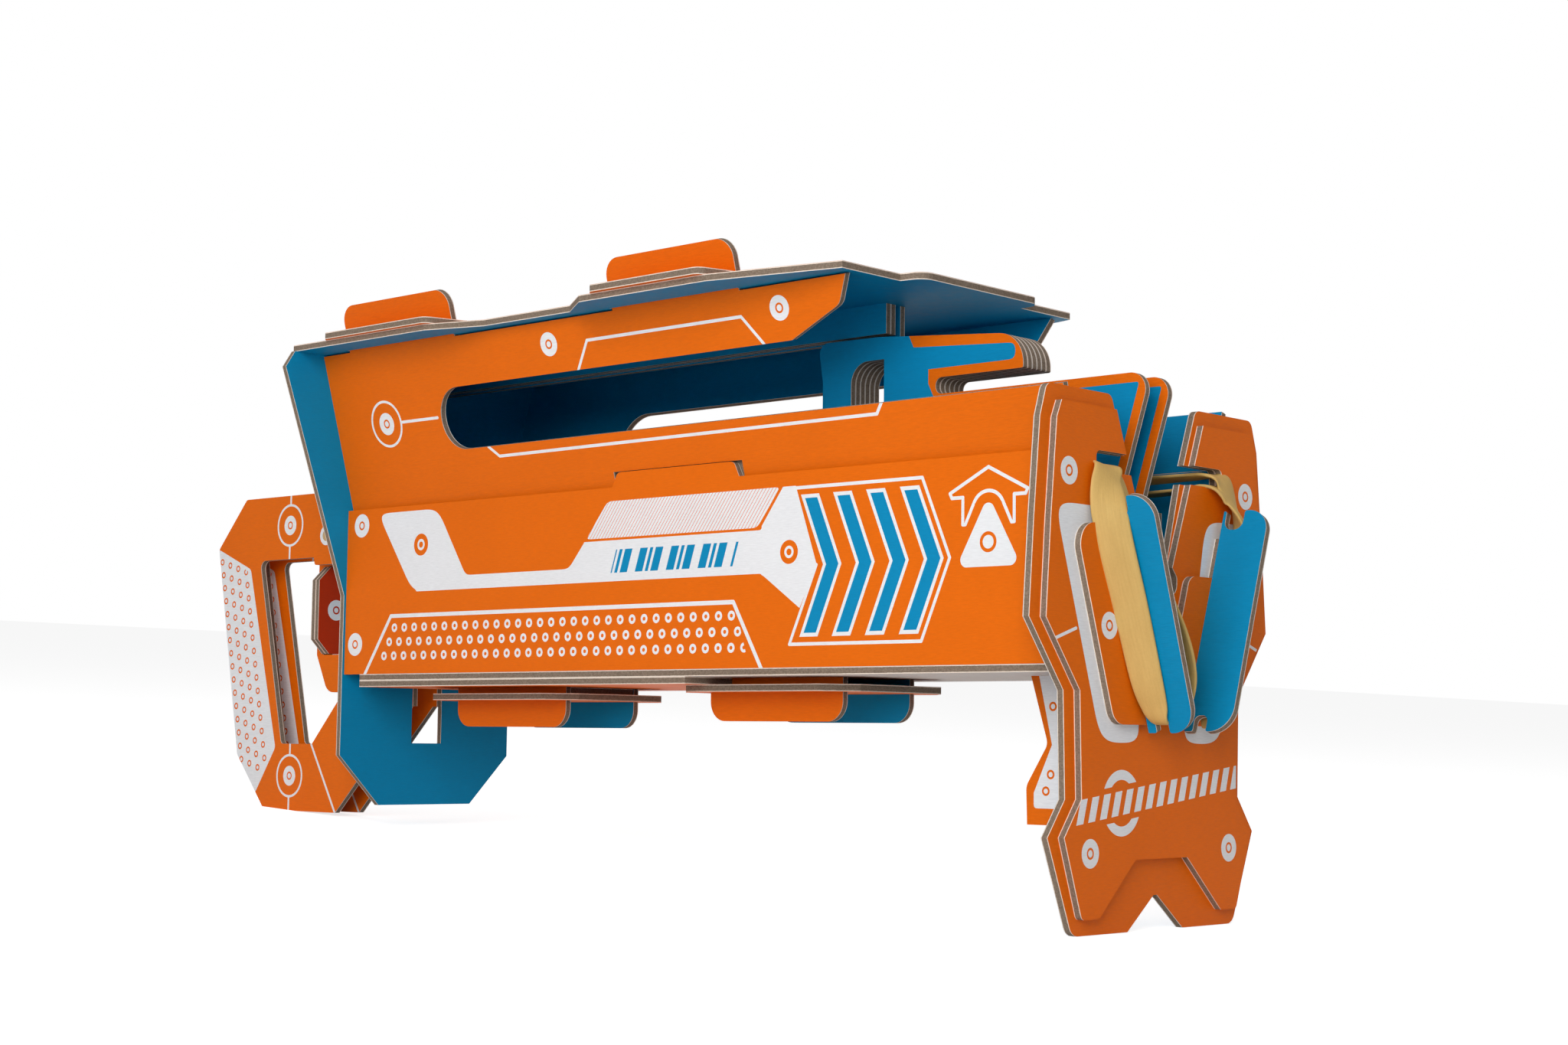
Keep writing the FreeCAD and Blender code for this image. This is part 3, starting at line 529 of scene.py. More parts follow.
def handle_art(paper: Signal) -> list[Layer]:
    """Artwork of a handle plate: two ringed targets, lines, and a white grip field with rings in it.

    The rings stand on a slanted lattice: a point is turned into steps along the lattice, each step
    is wrapped to the nearest ring, and the remainder is turned back into millimetres.

    Args:
        paper: the flat point, along the body and up.

    Returns:
        The layers.
    """
    first, across, down = np.array((-394.8, 41.8)), np.array((4.87, -1.35)), np.array((1.014, -4.65))
    inverse = np.linalg.inv(np.column_stack((across, down)))
    shifted = paper.vector("SUBTRACT", (*first, 0.0))
    columns, rows = (shifted.along((*line, 0.0)) for line in inverse)
    column_rest, row_rest = columns.wrapped(1.0), rows.wrapped(1.0)
    rest = [column_rest * float(across[k]) + row_rest * float(down[k]) for k in (0, 1)]
    gap = paper.shop.joined(*rest).away((0, 0, 0))
    field = convex(paper, [(-371.0, -39.6), (-359.8, -23.6), (-377.4, 38.6), (-397.5, 46.6), (-410, 46.6),
                           (-410, -39.6)], 1.5)
    bounds = convex(paper.shop.joined(columns, rows), [(-0.5, -0.5), (3.5, -0.5), (3.5, 15.5), (-0.5, 15.5)])
    dots = (abs(gap - 0.9) - 0.27).most(bounds * 4.0).most(field + 1.2)
    targets = []
    for centre, gap_low, gap_high in (((-354.9, 53.0), 41.0, 64.0), ((-351.3, -33.2), -46.0, -22.0)):
        line = stroke(paper, [(centre[0], gap_low), (centre[0], gap_high)], LINE)
        targets += [ring(paper, centre, 6.6, 7.4), rivet(paper, centre, 3.4),
                    line.most(-disc(paper, centre, 7.0))]
    slant = stroke(paper, [(-339.4, -22.3), (-325.0, -45.5)], LINE)
    return [(Ink.WHITE, union(field, slant, *targets)), (Ink.ORANGE, dots)]


def cheek_art(paper: Signal) -> list[Layer]:
    """Artwork of a trigger cheek and of the pin's ends: one rivet at the pivot."""
    return [(Ink.WHITE, rivet(paper, (-331.2, 48.3), 3.4))]


def trigger_art(paper: Signal) -> list[Layer]:
    """Artwork of the trigger pad: one rivet in the middle."""
    return [(Ink.WHITE, rivet(paper, (0.0, 23.3)))]


def fore_art(paper: Signal) -> list[Layer]:
    """Artwork of a fore grip plate: white field inside an orange border, with three rings."""
    upper = half_plane(paper, (-32.7, -4.0), (-29.1, -19.5))
    lower = half_plane(paper, (-29.1, -19.5), (-34.6, -31.3))
    bounds = convex(paper, [(-34.8, -35.6), (0, -35.6), (0, -1.0), (-34.8, -1.0)], 1.5)
    field = upper.least(lower).most(bounds)
    rings = union(*(ring(paper, spot, 0.65, 1.2) for spot in ((-28.8, -9.8), (-29.5, -27.0), (-31.0, -31.2))))
    return [(Ink.WHITE, field), (Ink.ORANGE, rings)]


def carriage_art(paper: Signal) -> list[Layer]:
    """Orange border of a carriage board, drawn inwards from its outline over the front half."""
    rear = half_plane(paper, (-67.8, 0.0), (-67.8, 100.0))
    arm = convex(paper, [(-120.0, 78.0), (-38.6, 78.0), (-38.6, 87.2), (-120.0, 92.2)], 3.2)
    guide = convex(paper, [(-120.0, 0.0), (-21.5, 0.0), (0.9, 73.5), (-120.0, 73.5)], 1.4)
    top = half_plane(paper, (-38.6, 87.2), (-110.0, 91.5))
    outline = rear.most(top).least(arm).least(guide)
    edge = (outline + 2.5) * -1.0
    start = half_plane(paper, (-77.5, 91.0), (-75.0, 86.0))
    return [(Ink.ORANGE, edge.most(start))]


def deck_art(paper: Signal) -> list[Layer]:
    """Artwork of the deck: rivets at its corners and two thin lines along it."""
    folded = paper.shop.joined(paper.along((1, 0, 0)), abs(paper.along((0, 1, 0))))
    lines = stroke(folded, [(-205.0, 24.0), (-165.0, 24.0)], LINE)
    spots = union(rivet(folded, (-281.5, 46.0), 2.4), rivet(folded, (-185.0, 38.0)),
                  rivet(folded, (-78.0, 36.0)), ring(folded, (-185.0, 38.0), 6.6, 7.4))
    return [(Ink.WHITE, union(lines, spots))]


def lock_art(paper: Signal) -> list[Layer]:
    """Artwork of a deck lock plate: two lines beside the middle."""
    folded = paper.shop.joined(paper.along((1, 0, 0)), abs(paper.along((0, 1, 0))))
    return [(Ink.WHITE, union(stroke(folded, [(-264.0, 22.0), (-226.0, 22.0)], LINE),
                              stroke(folded, [(-146.0, 22.0), (-110.0, 22.0)], LINE)))]


# ---------------------------------------------------------------- boards and finishes

class Lies(Enum):
    """How a board lies, which sets its artwork's two directions."""

    ACROSS = ((0, 1, 0), (0, 0, 1))
    ALONG = ((1, 0, 0), (0, 0, 1))
    FLAT = ((1, 0, 0), (0, 1, 0))


@dataclass(frozen=True)
class Plane:
    """A board's plane: unit normal towards its outer side, and where its two faces lie along it."""

    normal: Triple
    low: float
    high: float

    @classmethod
    def of(cls, node: bpy.types.Object) -> "Plane":
        """Read a board's plane from its mesh.

        The normal is that of the largest flat area. It points away from the middle plane, or forwards
        or upwards for a board across the body or a flat one.

        Args:
            node: the board.

        Returns:
            Its plane.
        """
        mesh = node.data
        points = np.zeros(len(mesh.vertices) * 3)
        mesh.vertices.foreach_get("co", points)
        points = points.reshape(-1, 3) / MM
        mesh.calc_loop_triangles()
        corners = np.zeros(len(mesh.loop_triangles) * 3, int)
        mesh.loop_triangles.foreach_get("vertices", corners)
        a, b, c = (points[corners.reshape(-1, 3)[:, k]] for k in range(3))
        area = np.cross(b - a, c - a)
        size = np.linalg.norm(area, axis=1)
        units = area / np.maximum(size, 1e-9)[:, None]
        _, group = np.unique(np.round(units, 2), axis=0, return_inverse=True)
        group = group.ravel()
        largest = np.bincount(group, size).argmax()
        inside = group == largest
        facing = (units[inside] * size[inside, None]).sum(0)
        facing /= np.linalg.norm(facing)
        normal = facing.copy()
        middle = (points.max(0) + points.min(0)) / 2
        main = int(np.abs(normal).argmax())
        side = 1.0
        if main == 1:
            side = math.copysign(1.0, middle[1]) if abs(middle[1]) > PLY / 4 else -1.0
        normal *= side * math.copysign(1.0, normal[main])
        faces = a[inside] @ normal
        face = float(np.median(faces))
        others = points @ normal
        low, high = float(others.min()), float(others.max())
        if high - low > 4 * PLY + 0.1:
            low, high = (face - PLY, face) if normal @ facing > 0 else (face, face + PLY)
        return cls(tuple(normal), low, high)


@dataclass(frozen=True)
class Fold:
    """Fold of a flared panel: height of the bend, and the board's upright part below it."""

    height: float
    inner: float
    outer: float


@dataclass(frozen=True)
class PrintedBoard:
    """Finish of a board: printed faces, pale liners and a fibrous core on its cut edges."""

    plane: Plane
    lies: Lies
    outer: Ink
    inner: Ink
    outer_art: Optional[Artwork] = None
    inner_art: Optional[Artwork] = None
    fold: Optional[Fold] = None
    origin: Optional[tuple[Triple, Triple, Pair]] = None

    LINER_WIDTH = 0.26
    FACE_SKIN = 0.03

    def paper(self, shop: Shop, place: Signal) -> Signal:
        """The flat point on the board, in millimetres along its two directions."""
        if self.origin is None:
            across, up = self.lies.value
            return shop.joined(place.along(across), place.along(up))
        across, up, start = self.origin
        return shop.joined(place.along(across) - start[0], place.along(up) - start[1])

    def depth(self, place: Signal) -> Signal:
        """How far the point lies from the board's middle, towards its outer side."""
        flat = place.along(self.plane.normal) - (self.plane.low + self.plane.high) / 2
        if self.fold is None:
            return flat
        side = math.copysign(1.0, self.plane.normal[1])
        upright = place.along((0, side, 0)) - (self.fold.inner + self.fold.outer) / 2
        over = place.along((0, 0, 1)) > self.fold.height
        return flat * over + upright * (1.0 - over)

    def face(self, shop: Shop, paper: Signal, ink: Ink, art: Optional[Artwork]) -> Union[Signal, tuple]:
        """A printed face: its ink with the artwork's layers over it."""
        colour = ink.value.linear()
        for layer, shape in (art(paper) if art else []):
            colour = shop.paint(colour, layer.value.linear(), shape < 0.0)
        return colour

    def build(self, name: str) -> bpy.types.Material:
        """Make the material.

        Args:
            name: its name.

        Returns:
            The material.
        """
        shop = Shop(name)
        place = shop.place()
        depth = self.depth(place)
        half = (self.plane.high - self.plane.low) / 2
        paper = self.paper(shop, place)
        colour = shop.paint(self.face(shop, paper, self.inner, self.inner_art),
                            self.face(shop, paper, self.outer, self.outer_art), depth > 0.0)
        cloth = shop.noise(place, (2.6, 2.6, 0.28), 3.0)
        blotch = shop.noise(place, (34.0, 34.0, 22.0), 2.0)
        printed = shop.shaded(colour, 1.0 + cloth * 0.13 + blotch * 0.05)
        into = (depth + half).math("PINGPONG", PLY / 2)
        fibre = shop.noise(place, (0.55, 0.55, 0.4), 4.0)
        core = shop.paint(Stock.CORE_DARK.value.linear(), Stock.CORE.value.linear(),
                          (fibre * 0.9 + 0.62).most(0.0).least(1.0))
        ragged = self.LINER_WIDTH + shop.noise(place, (1.2, 1.2, 1.2), 2.0) * 0.08
        cut = shop.paint(core, Stock.LINER.value.linear(), into < ragged)
        if half > PLY / 2:
            # near-black line where two sheets meet on a cut edge: the joint plus painted shade in the gap
            # between them
            seam_and_gap_shade = (into < 0.09) * (abs(depth) < half - PLY / 4)
            cut = shop.paint(cut, Stock.SEAM_WITH_PAINTED_SHADE.value.linear(), seam_and_gap_shade)
        on_face = abs(depth) > half - self.FACE_SKIN
        surface = shop.paint(cut, printed, on_face)
        roughness = 0.9 - on_face * (0.38 - cloth * 0.1)
        height = cloth * on_face * 0.3 + fibre * (1.0 - on_face)
        return shop.finish(surface, roughness, height, 0.08, {"Specular IOR Level": 0.15})


@dataclass(frozen=True)
class GrainedWood:
    """Finish of a turned pin: grain along it and rings on its ends."""

    centre: Triple

    def build(self, name: str) -> bpy.types.Material:
        """Make the material: rings by distance from the axis, bent by noise, and fine pores."""
        shop = Shop(name)
        place = shop.place()
        bend = shop.noise(place, (3.0, 14.0, 3.0), 3.0)
        around = place.vector("MULTIPLY", (1, 0, 1)).away((self.centre[0], 0, self.centre[2]))
        rings = (around + bend * 0.35).math("PINGPONG", 0.32) / 0.32
        pores = shop.noise(place, (0.25, 3.5, 0.25), 3.0)
        colour = shop.paint(Stock.WOOD_DARK.value.linear(), Stock.WOOD.value.linear(),
                            (rings * 0.6 + pores * 0.35 + 0.3).most(0.0).least(1.0))
        return shop.finish(colour, 0.62 + pores * 0.1, rings * 0.4 + pores * 0.6, 0.05)


@dataclass(frozen=True)
class TanRubber:
    """Finish of a rubber band: dusty tan with fine streaks along it, read from its own map."""

    def build(self, name: str) -> bpy.types.Material:
        """Make the material: streaks along the band, soft blotches and a powdery surface."""
        shop = Shop(name)
        along = shop.signal("ShaderNodeUVMap", {"uv_map": "band"}, output="UV")
        streak = shop.noise(along, (9.0, 0.5, 1.0), 3.0)
        powder = shop.noise(shop.place(), (0.6, 0.6, 0.6), 3.0)
        blotch = shop.noise(along, (14.0, 4.0, 1.0), 2.0)
        colour = shop.paint(Stock.BAND_DARK.value.linear(), Stock.BAND.value.linear(),
                            (0.72 + streak * 0.3 + powder * 0.22 + blotch * 0.4).most(0.0).least(1.0))
        return shop.finish(colour, 0.72 + powder * 0.12, streak * 0.7 + powder * 0.3, 0.06)


def dress(node: bpy.types.Object, material: bpy.types.Material) -> None:
    """Give a piece one material on its whole surface."""
    node.data.materials.clear()
    node.data.materials.append(material)
    LOG.info("dressed %s", node.name)


# ---------------------------------------------------------------- sub-assemblies

@dataclass
class BodyShell:
    """Side panels, deck, floor, rails, ribs and bulkhead."""

    nodes: dict[str, bpy.types.Object]

    def fold(self, side: str) -> Fold:
        """Fold of a flared panel: it bends where the lower panel ends, inside that panel."""
        low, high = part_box(f"lower_side_{side}")
        outer = max(abs(low.y), abs(high.y)) / MM - PLY
        return Fold(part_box("rib_rear")[1].z / MM + 16.0, outer - PLY, outer)

    def flared(self, side: str) -> PrintedBoard:
        """Finish of a flared panel, whose artwork is measured up its slope from the fold."""
        fold, plane = self.fold(side), Plane.of(self.nodes[f"upper_side_{side}"])
        way = math.copysign(1.0, plane.normal[1])
        up = (0.0, -plane.normal[2] * way, abs(plane.normal[1]))
        start = up[1] * way * fold.outer + up[2] * fold.height
        return PrintedBoard(plane, Lies.ALONG, Ink.ORANGE, Ink.BLUE, flared_art, None, fold,
                            ((1, 0, 0), up, (0.0, start)))

    def dress(self) -> None:
        """Print every board of the body."""
        plain = {
            "lower_side": (Lies.ALONG, Ink.ORANGE, Ink.BLUE, side_art),
            "inner_rail": (Lies.ALONG, Ink.ORANGE, Ink.BLUE, None),
            "runner": (Lies.ALONG, Ink.BLUE, Ink.BLUE, None),
            "rib": (Lies.ACROSS, Ink.BLUE, Ink.BLUE, None),
            "spine_board": (Lies.ALONG, Ink.BLUE, Ink.BLUE, None),
            "rear_bulkhead": (Lies.ACROSS, Ink.BLUE, Ink.BLUE, None),
            "top_deck": (Lies.FLAT, Ink.ORANGE, Ink.BLUE, deck_art),
            "deck_lock": (Lies.FLAT, Ink.ORANGE, Ink.ORANGE, lock_art),
            "floor_board": (Lies.FLAT, Ink.BLUE, Ink.KRAFT, None),
            "floor_doubler": (Lies.FLAT, Ink.KRAFT, Ink.ORANGE, None),
            "floor_spacer": (Lies.FLAT, Ink.KRAFT, Ink.KRAFT, None),
            "floor_lock": (Lies.FLAT, Ink.ORANGE, Ink.ORANGE, None),
        }
        for name, node in self.nodes.items():
            for start, (lies, outer, inner, art) in plain.items():
                if name.startswith(start):
                    board = PrintedBoard(Plane.of(node), lies, outer, inner, art)
                    dress(node, board.build(f"printed_{name}"))
        for side in ("right", "left"):
            dress(self.nodes[f"upper_side_{side}"], self.flared(side).build(f"printed_upper_side_{side}"))


@dataclass
class FrontEnd:
    """Front plates, paddles and fore grip."""

    nodes: dict[str, bpy.types.Object]

    def dress(self) -> None:
        """Print every board of the front end."""
        table = {
            "front_plate_outer": (Lies.ACROSS, Ink.ORANGE, Ink.ORANGE, front_art),
            "front_plate_inner": (Lies.ACROSS, Ink.ORANGE, Ink.BLUE, None),
            "paddle_wing": (Lies.ALONG, Ink.BLUE, Ink.BLUE, None),
            "paddle_pad": (Lies.ACROSS, Ink.ORANGE, Ink.BLUE, pad_art),
            "fore_grip_packing": (Lies.ALONG, Ink.KRAFT, Ink.KRAFT, None),
            "fore_grip_left": (Lies.ALONG, Ink.ORANGE, Ink.ORANGE, fore_art),
            "fore_grip_right": (Lies.ALONG, Ink.ORANGE, Ink.ORANGE, fore_art),
        }
        dress_from(self.nodes, table)


@dataclass
class Handle:
    """Handle, trigger, push link and sear."""

    nodes: dict[str, bpy.types.Object]

    def dress(self) -> None:
        """Print the boards and give the pins their wood."""
        table = {
            "handle_plate": (Lies.ALONG, Ink.ORANGE, Ink.ORANGE, handle_art),
            "handle_grip_packing": (Lies.ALONG, Ink.KRAFT, Ink.KRAFT, None),
            "handle_foot_packing": (Lies.ALONG, Ink.KRAFT, Ink.KRAFT, None),
            "link_guide": (Lies.ALONG, Ink.KRAFT, Ink.KRAFT, None),
            "trigger_cheek": (Lies.ALONG, Ink.ORANGE, Ink.ORANGE, cheek_art),
            "trigger_core": (Lies.ALONG, Ink.ORANGE, Ink.ORANGE, None),
            # the trigger pad takes the orange with painted shade on both faces
            "trigger_pad": (Lies.ACROSS, Ink.ORANGE_WITH_PAINTED_SHADE, Ink.ORANGE_WITH_PAINTED_SHADE, trigger_art),
            "push_link": (Lies.ALONG, Ink.BLUE, Ink.BLUE, None),
        }
        dress_from(self.nodes, table)
        sear = self.nodes["sear"]
        dress(sear, PrintedBoard(Plane.of(sear), Lies.ALONG, Ink.BLUE, Ink.BLUE).build("printed_sear"))
        for name in ("trigger_pin", "sear_pin"):
            dress(self.nodes[name], wood_of(name).build(f"wood_{name}"))


@dataclass
class Carriage:
    """Laminated carriage, its shoe and the peg for the bands."""

    nodes: dict[str, bpy.types.Object]

    def dress(self) -> None:
        """Print the boards and give the peg its wood."""
        table = {
            "carriage_outer": (Lies.ALONG, Ink.BLUE, Ink.BLUE, carriage_art),
            "carriage_core": (Lies.ALONG, Ink.BLUE, Ink.BLUE, None),
            "carriage_shoe": (Lies.FLAT, Ink.BLUE, Ink.BLUE, None),
        }
        dress_from(self.nodes, table, both=("carriage_outer",))
        dress(self.nodes["band_peg"], wood_of("band_peg").build("wood_band_peg"))


def wood_of(name: str) -> GrainedWood:
    """Finish of a pin, with its rings round the pin's own axis."""
    low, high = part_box(name)
    return GrainedWood(tuple((low + high) / 2 / MM))


def dress_from(nodes: dict[str, bpy.types.Object], table: dict,
               both: Sequence[str] = ("handle_plate",)) -> None:
    """Print the boards named in a table.

    Args:
        nodes: every board by name.
        table: how each lies, its outer and inner ink and its outer artwork, by the start of its name.
        both: those with the artwork on both faces.
    """
    for name, node in nodes.items():
        for start, (lies, outer, inner, art) in table.items():
            if name.startswith(start):
                back = art if start in both else None
                board = PrintedBoard(Plane.of(node), lies, outer, inner, art, back)
                dress(node, board.build(f"printed_{name}"))


# ---------------------------------------------------------------- rubber bands

Stop = tuple[Triple, Triple, float]      # place, direction across the band there, and the band's width
NEAR_STOPS: tuple[Stop, ...] = (
    ((-62.4, -10.4, 46.6), (0.0, 1.0, 0.0), 7.0),
    ((-60.4, -10.6, 48.7), (0.0, 1.0, 0.0), 7.4),
    ((-54.0, -11.6, 49.0), (0.0, 1.0, 0.0), 8.0),
    ((-28.0, -17.2, 48.7), (0.0, 1.0, 0.1), 8.2),
    ((-6.0, -22.8, 48.2), (0.0, 1.0, 0.05), 8.2),
    ((-1.0, -23.9, 48.1), (0.0, 1.0, 0.0), 8.4),
    ((1.7, -25.6, 46.9), (0.0, 1.0, 0.05), 8.8),
    ((2.9, -27.5, 42.5), (0.35, 0.93, 0.1), 9.0),
    ((4.4, -28.6, 36.0), (0.72, 0.66, 0.14), 8.8),
    ((5.2, -26.6, 27.0), (0.78, 0.6, 0.1), 8.6),
    ((5.5, -21.2, 13.0), (0.84, 0.5, 0.1), 8.4),
    ((5.9, -15.6, -3.0), (0.87, 0.46, 0.1), 7.8),
    ((6.1, -12.4, -10.0), (0.93, 0.33, 0.05), 6.6),
    ((6.2, -10.8, -13.0), (0.99, 0.1, 0.0), 5.0),
    ((6.3, -9.0, -13.9), (1.0, 0.0, 0.0), 4.2),
    ((6.6, -6.6, -13.2), (1.0, 0.0, 0.0), 5.0),
    ((8.2, -4.2, -9.5), (0.97, -0.1, 0.0), 6.6),
    ((9.4, -3.6, -2.0), (0.92, -0.3, 0.0), 8.0),
    ((9.2, -6.6, 8.0), (0.85, -0.4, 0.0), 8.4),
    ((6.8, -12.4, 22.0), (0.7, -0.6, 0.0), 8.6),
    ((3.4, -18.6, 36.0), (0.3, -0.92, 0.0), 8.6),
    ((1.2, -22.6, 45.0), (0.05, -1.0, 0.0), 8.4),
    ((-1.6, -23.6, 46.95), (0.0, -1.0, 0.0), 8.2),
    ((-8.0, -22.4, 46.2), (0.0, -1.0, 0.0), 8.2),
    ((-30.0, -16.8, 44.9), (0.0, -1.0, 0.0), 8.0),
    ((-54.0, -11.4, 43.4), (0.0, -1.0, 0.0), 7.6),
    ((-60.4, -10.4, 43.2), (0.0, -1.0, 0.0), 7.2),
    ((-62.7, -10.4, 45.2), (0.0, -1.0, 0.0), 7.0),
)
SHARED = slice(7, 13)      # stops from the sill down the wing, which both bands pass
FAR_STOPS: tuple[Stop, ...] = (
    ((-62.4, -10.4, 45.0), (0.0, 1.0, 0.0), 7.0),
    ((-60.4, -10.4, 43.2), (0.0, 1.0, 0.0), 7.2),
    ((-54.0, -11.4, 43.4), (0.0, 1.0, 0.0), 7.6),
    ((-30.0, -16.8, 44.9), (0.0, 1.0, 0.0), 8.0),
    ((-8.0, -22.4, 46.2), (0.0, 1.0, 0.0), 8.2),
    ((-1.6, -23.6, 46.95), (0.0, 1.0, 0.0), 8.2),
    ((1.7, -25.6, 45.6), (0.0, 1.0, 0.05), 8.8),
    *NEAR_STOPS[SHARED],
    ((6.2, -11.8, -14.4), (0.99, 0.1, 0.0), 4.6),
    ((6.0, -14.0, -12.6), (0.97, 0.2, 0.0), 5.4),
    ((5.8, -16.6, -7.0), (0.9, 0.4, 0.05), 6.8),
    ((5.6, -19.6, -0.5), (0.87, 0.46, 0.1), 7.8),
    ((5.2, -25.4, 13.5), (0.84, 0.5, 0.1), 8.4),
    ((4.6, -30.2, 27.0), (0.78, 0.6, 0.1), 8.6),
    ((3.4, -31.6, 36.0), (0.72, 0.66, 0.14), 8.8),
    ((2.2, -29.6, 43.0), (0.35, 0.93, 0.1), 9.0),
    ((1.0, -26.4, 48.2), (0.0, 1.0, 0.05), 8.8),
    ((-1.6, -24.2, 49.9), (0.0, 1.0, 0.0), 8.4),
    ((-8.0, -22.6, 49.7), (0.0, 1.0, 0.05), 8.2),
    ((-28.0, -17.2, 48.9), (0.0, 1.0, 0.1), 8.2),
    ((-54.0, -11.6, 49.0), (0.0, 1.0, 0.0), 8.0),
    ((-60.4, -10.6, 48.7), (0.0, 1.0, 0.0), 7.4),
    ((-62.6, -10.4, 46.2), (0.0, 1.0, 0.0), 7.0),
)


@dataclass(frozen=True)
class BandPath:
    """A band's closed path, given as if it were the right-hand one.

    The right-hand band goes down outside the wing and back inside it; the left-hand one stays outside.
    """

    stops: tuple[Stop, ...]
    thick: float = 1.0

    def samples(self, count: int) -> tuple[np.ndarray, np.ndarray, np.ndarray]:
        """Points, width directions and half widths along the closed path.

        Between two stops each value is a Catmull-Rom cubic of the four stops around them:
        half of 2b + (c - a)t + (2a - 5b + 4c - d)t^2 + (3b - a - 3c + d)t^3.

        Args:
            count: samples between two stops.

        Returns:
            The three arrays.
        """
        table = np.array([(*place, *across, width) for place, across, width in self.stops])
        turn = 1 if table[0, 3:6] @ table[-1, 3:6] > 0 else -1
        flip = np.array([1, 1, 1, turn, turn, turn, 1])
        a, b = np.roll(table, 1, 0), table
        c, d = np.roll(table, -1, 0), np.roll(table, -2, 0)
        a[0], c[-1], d[-1], d[-2] = a[0] * flip, c[-1] * flip, d[-1] * flip, d[-2] * flip
        t = (np.arange(count) / count)[:, None, None]
        curve = (2 * b + (c - a) * t + (2 * a - 5 * b + 4 * c - d) * t ** 2
                 + (3 * b - a - 3 * c + d) * t ** 3) / 2
        curve = curve.transpose(1, 0, 2).reshape(-1, 7)
        return curve[:, :3], curve[:, 3:6], curve[:, 6] / 2

    def surface(self, side: float, count: int = 14, around: int = 16) -> tuple[np.ndarray, ...]:
        """The band as a closed grid: a rounded flat section carried along the path.

        The section is a superellipse: width times cos^0.5 across and thickness times sin^0.5 through.

        Args:
            side: -1 for the right-hand band, 1 for the left-hand one.
            count: samples between two stops.
            around: points round the section.

        Returns:
            Points, faces and a length and width coordinate for each point.
        """
        place, across, half = self.samples(count)
        rows = len(place)
        run = np.roll(place, -1, 0) - np.roll(place, 1, 0)
        run /= np.linalg.norm(run, axis=1)[:, None]
        across = across - (across * run).sum(1)[:, None] * run
        across /= np.linalg.norm(across, axis=1)[:, None]
        through = np.cross(run, across)
        angle = 2 * np.pi * np.arange(around) / around
        wide = np.sign(np.cos(angle)) * np.abs(np.cos(angle)) ** 0.5
        deep = np.sign(np.sin(angle)) * np.abs(np.sin(angle)) ** 0.5 * self.thick / 2
        grid = (place[:, None] + across[:, None] * (half[:, None] * wide)[..., None]
                + through[:, None] * deep[None, :, None])
        grid[..., 1] *= -side
        length = np.concatenate(([0.0], np.cumsum(np.linalg.norm(np.diff(place, axis=0), axis=1))))
        band_map = np.stack((np.repeat(length, around), (half[:, None] * wide).ravel()), 1)
        i, j = (k.ravel() for k in np.meshgrid(np.arange(rows), np.arange(around), indexing="ij"))
        ahead, turned = (i + 1) % rows, (j + 1) % around
        closing = (i == rows - 1)
        mate = np.where(closing, self.joint(around, across, through, j), j)
        mate_turned = np.where(closing, self.joint(around, across, through, turned), turned)
        faces = np.stack((i * around + j, i * around + turned, ahead * around + mate_turned,
                          ahead * around + mate), 1)
        if side < 0:
            faces = faces[:, ::-1]
        return grid.reshape(-1, 3) * MM, faces, band_map

    def joint(self, around: int, across: np.ndarray, through: np.ndarray, index: np.ndarray) -> np.ndarray:
        """Section point that meets a given one where the path closes: opposite if it has turned over."""
        turned_over = across[0] @ across[-1] < 0
        return (index + around // 2) % around if turned_over else index


@dataclass
class Bands:
    """The two rubber bands, which stretch between the body and the carriage."""

    front: float
    peg: float

    def build(self, name: str, side: float, path: BandPath, node: str) -> bpy.types.Object:
        """Make one band as a new piece in place of the plain band, which it hides.

        Args:
            name: the piece's name.
            side: -1 for the right-hand band, 1 for the left-hand one.
            path: its path.
            node: the plain band it stands for.

        Returns:
            The band.
        """
        points, faces, band_map = path.surface(side)
        mesh = bpy.data.meshes.new(name)
        mesh.from_pydata(points, [], faces.tolist())
        uv = mesh.uv_layers.new(name="band")
        corner = np.zeros(len(mesh.loops), int)
        mesh.loops.foreach_get("vertex_index", corner)
        uv.data.foreach_set("uv", band_map[corner].ravel())
        mesh.polygons.foreach_set("use_smooth", np.ones(len(mesh.polygons), bool))
        piece = bpy.data.objects.new(name, mesh)
        bpy.context.scene.collection.objects.link(piece)
        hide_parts(node)
        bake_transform(piece)
        LOG.info("built %s", name)
        return piece


# ---------------------------------------------------------------- studio

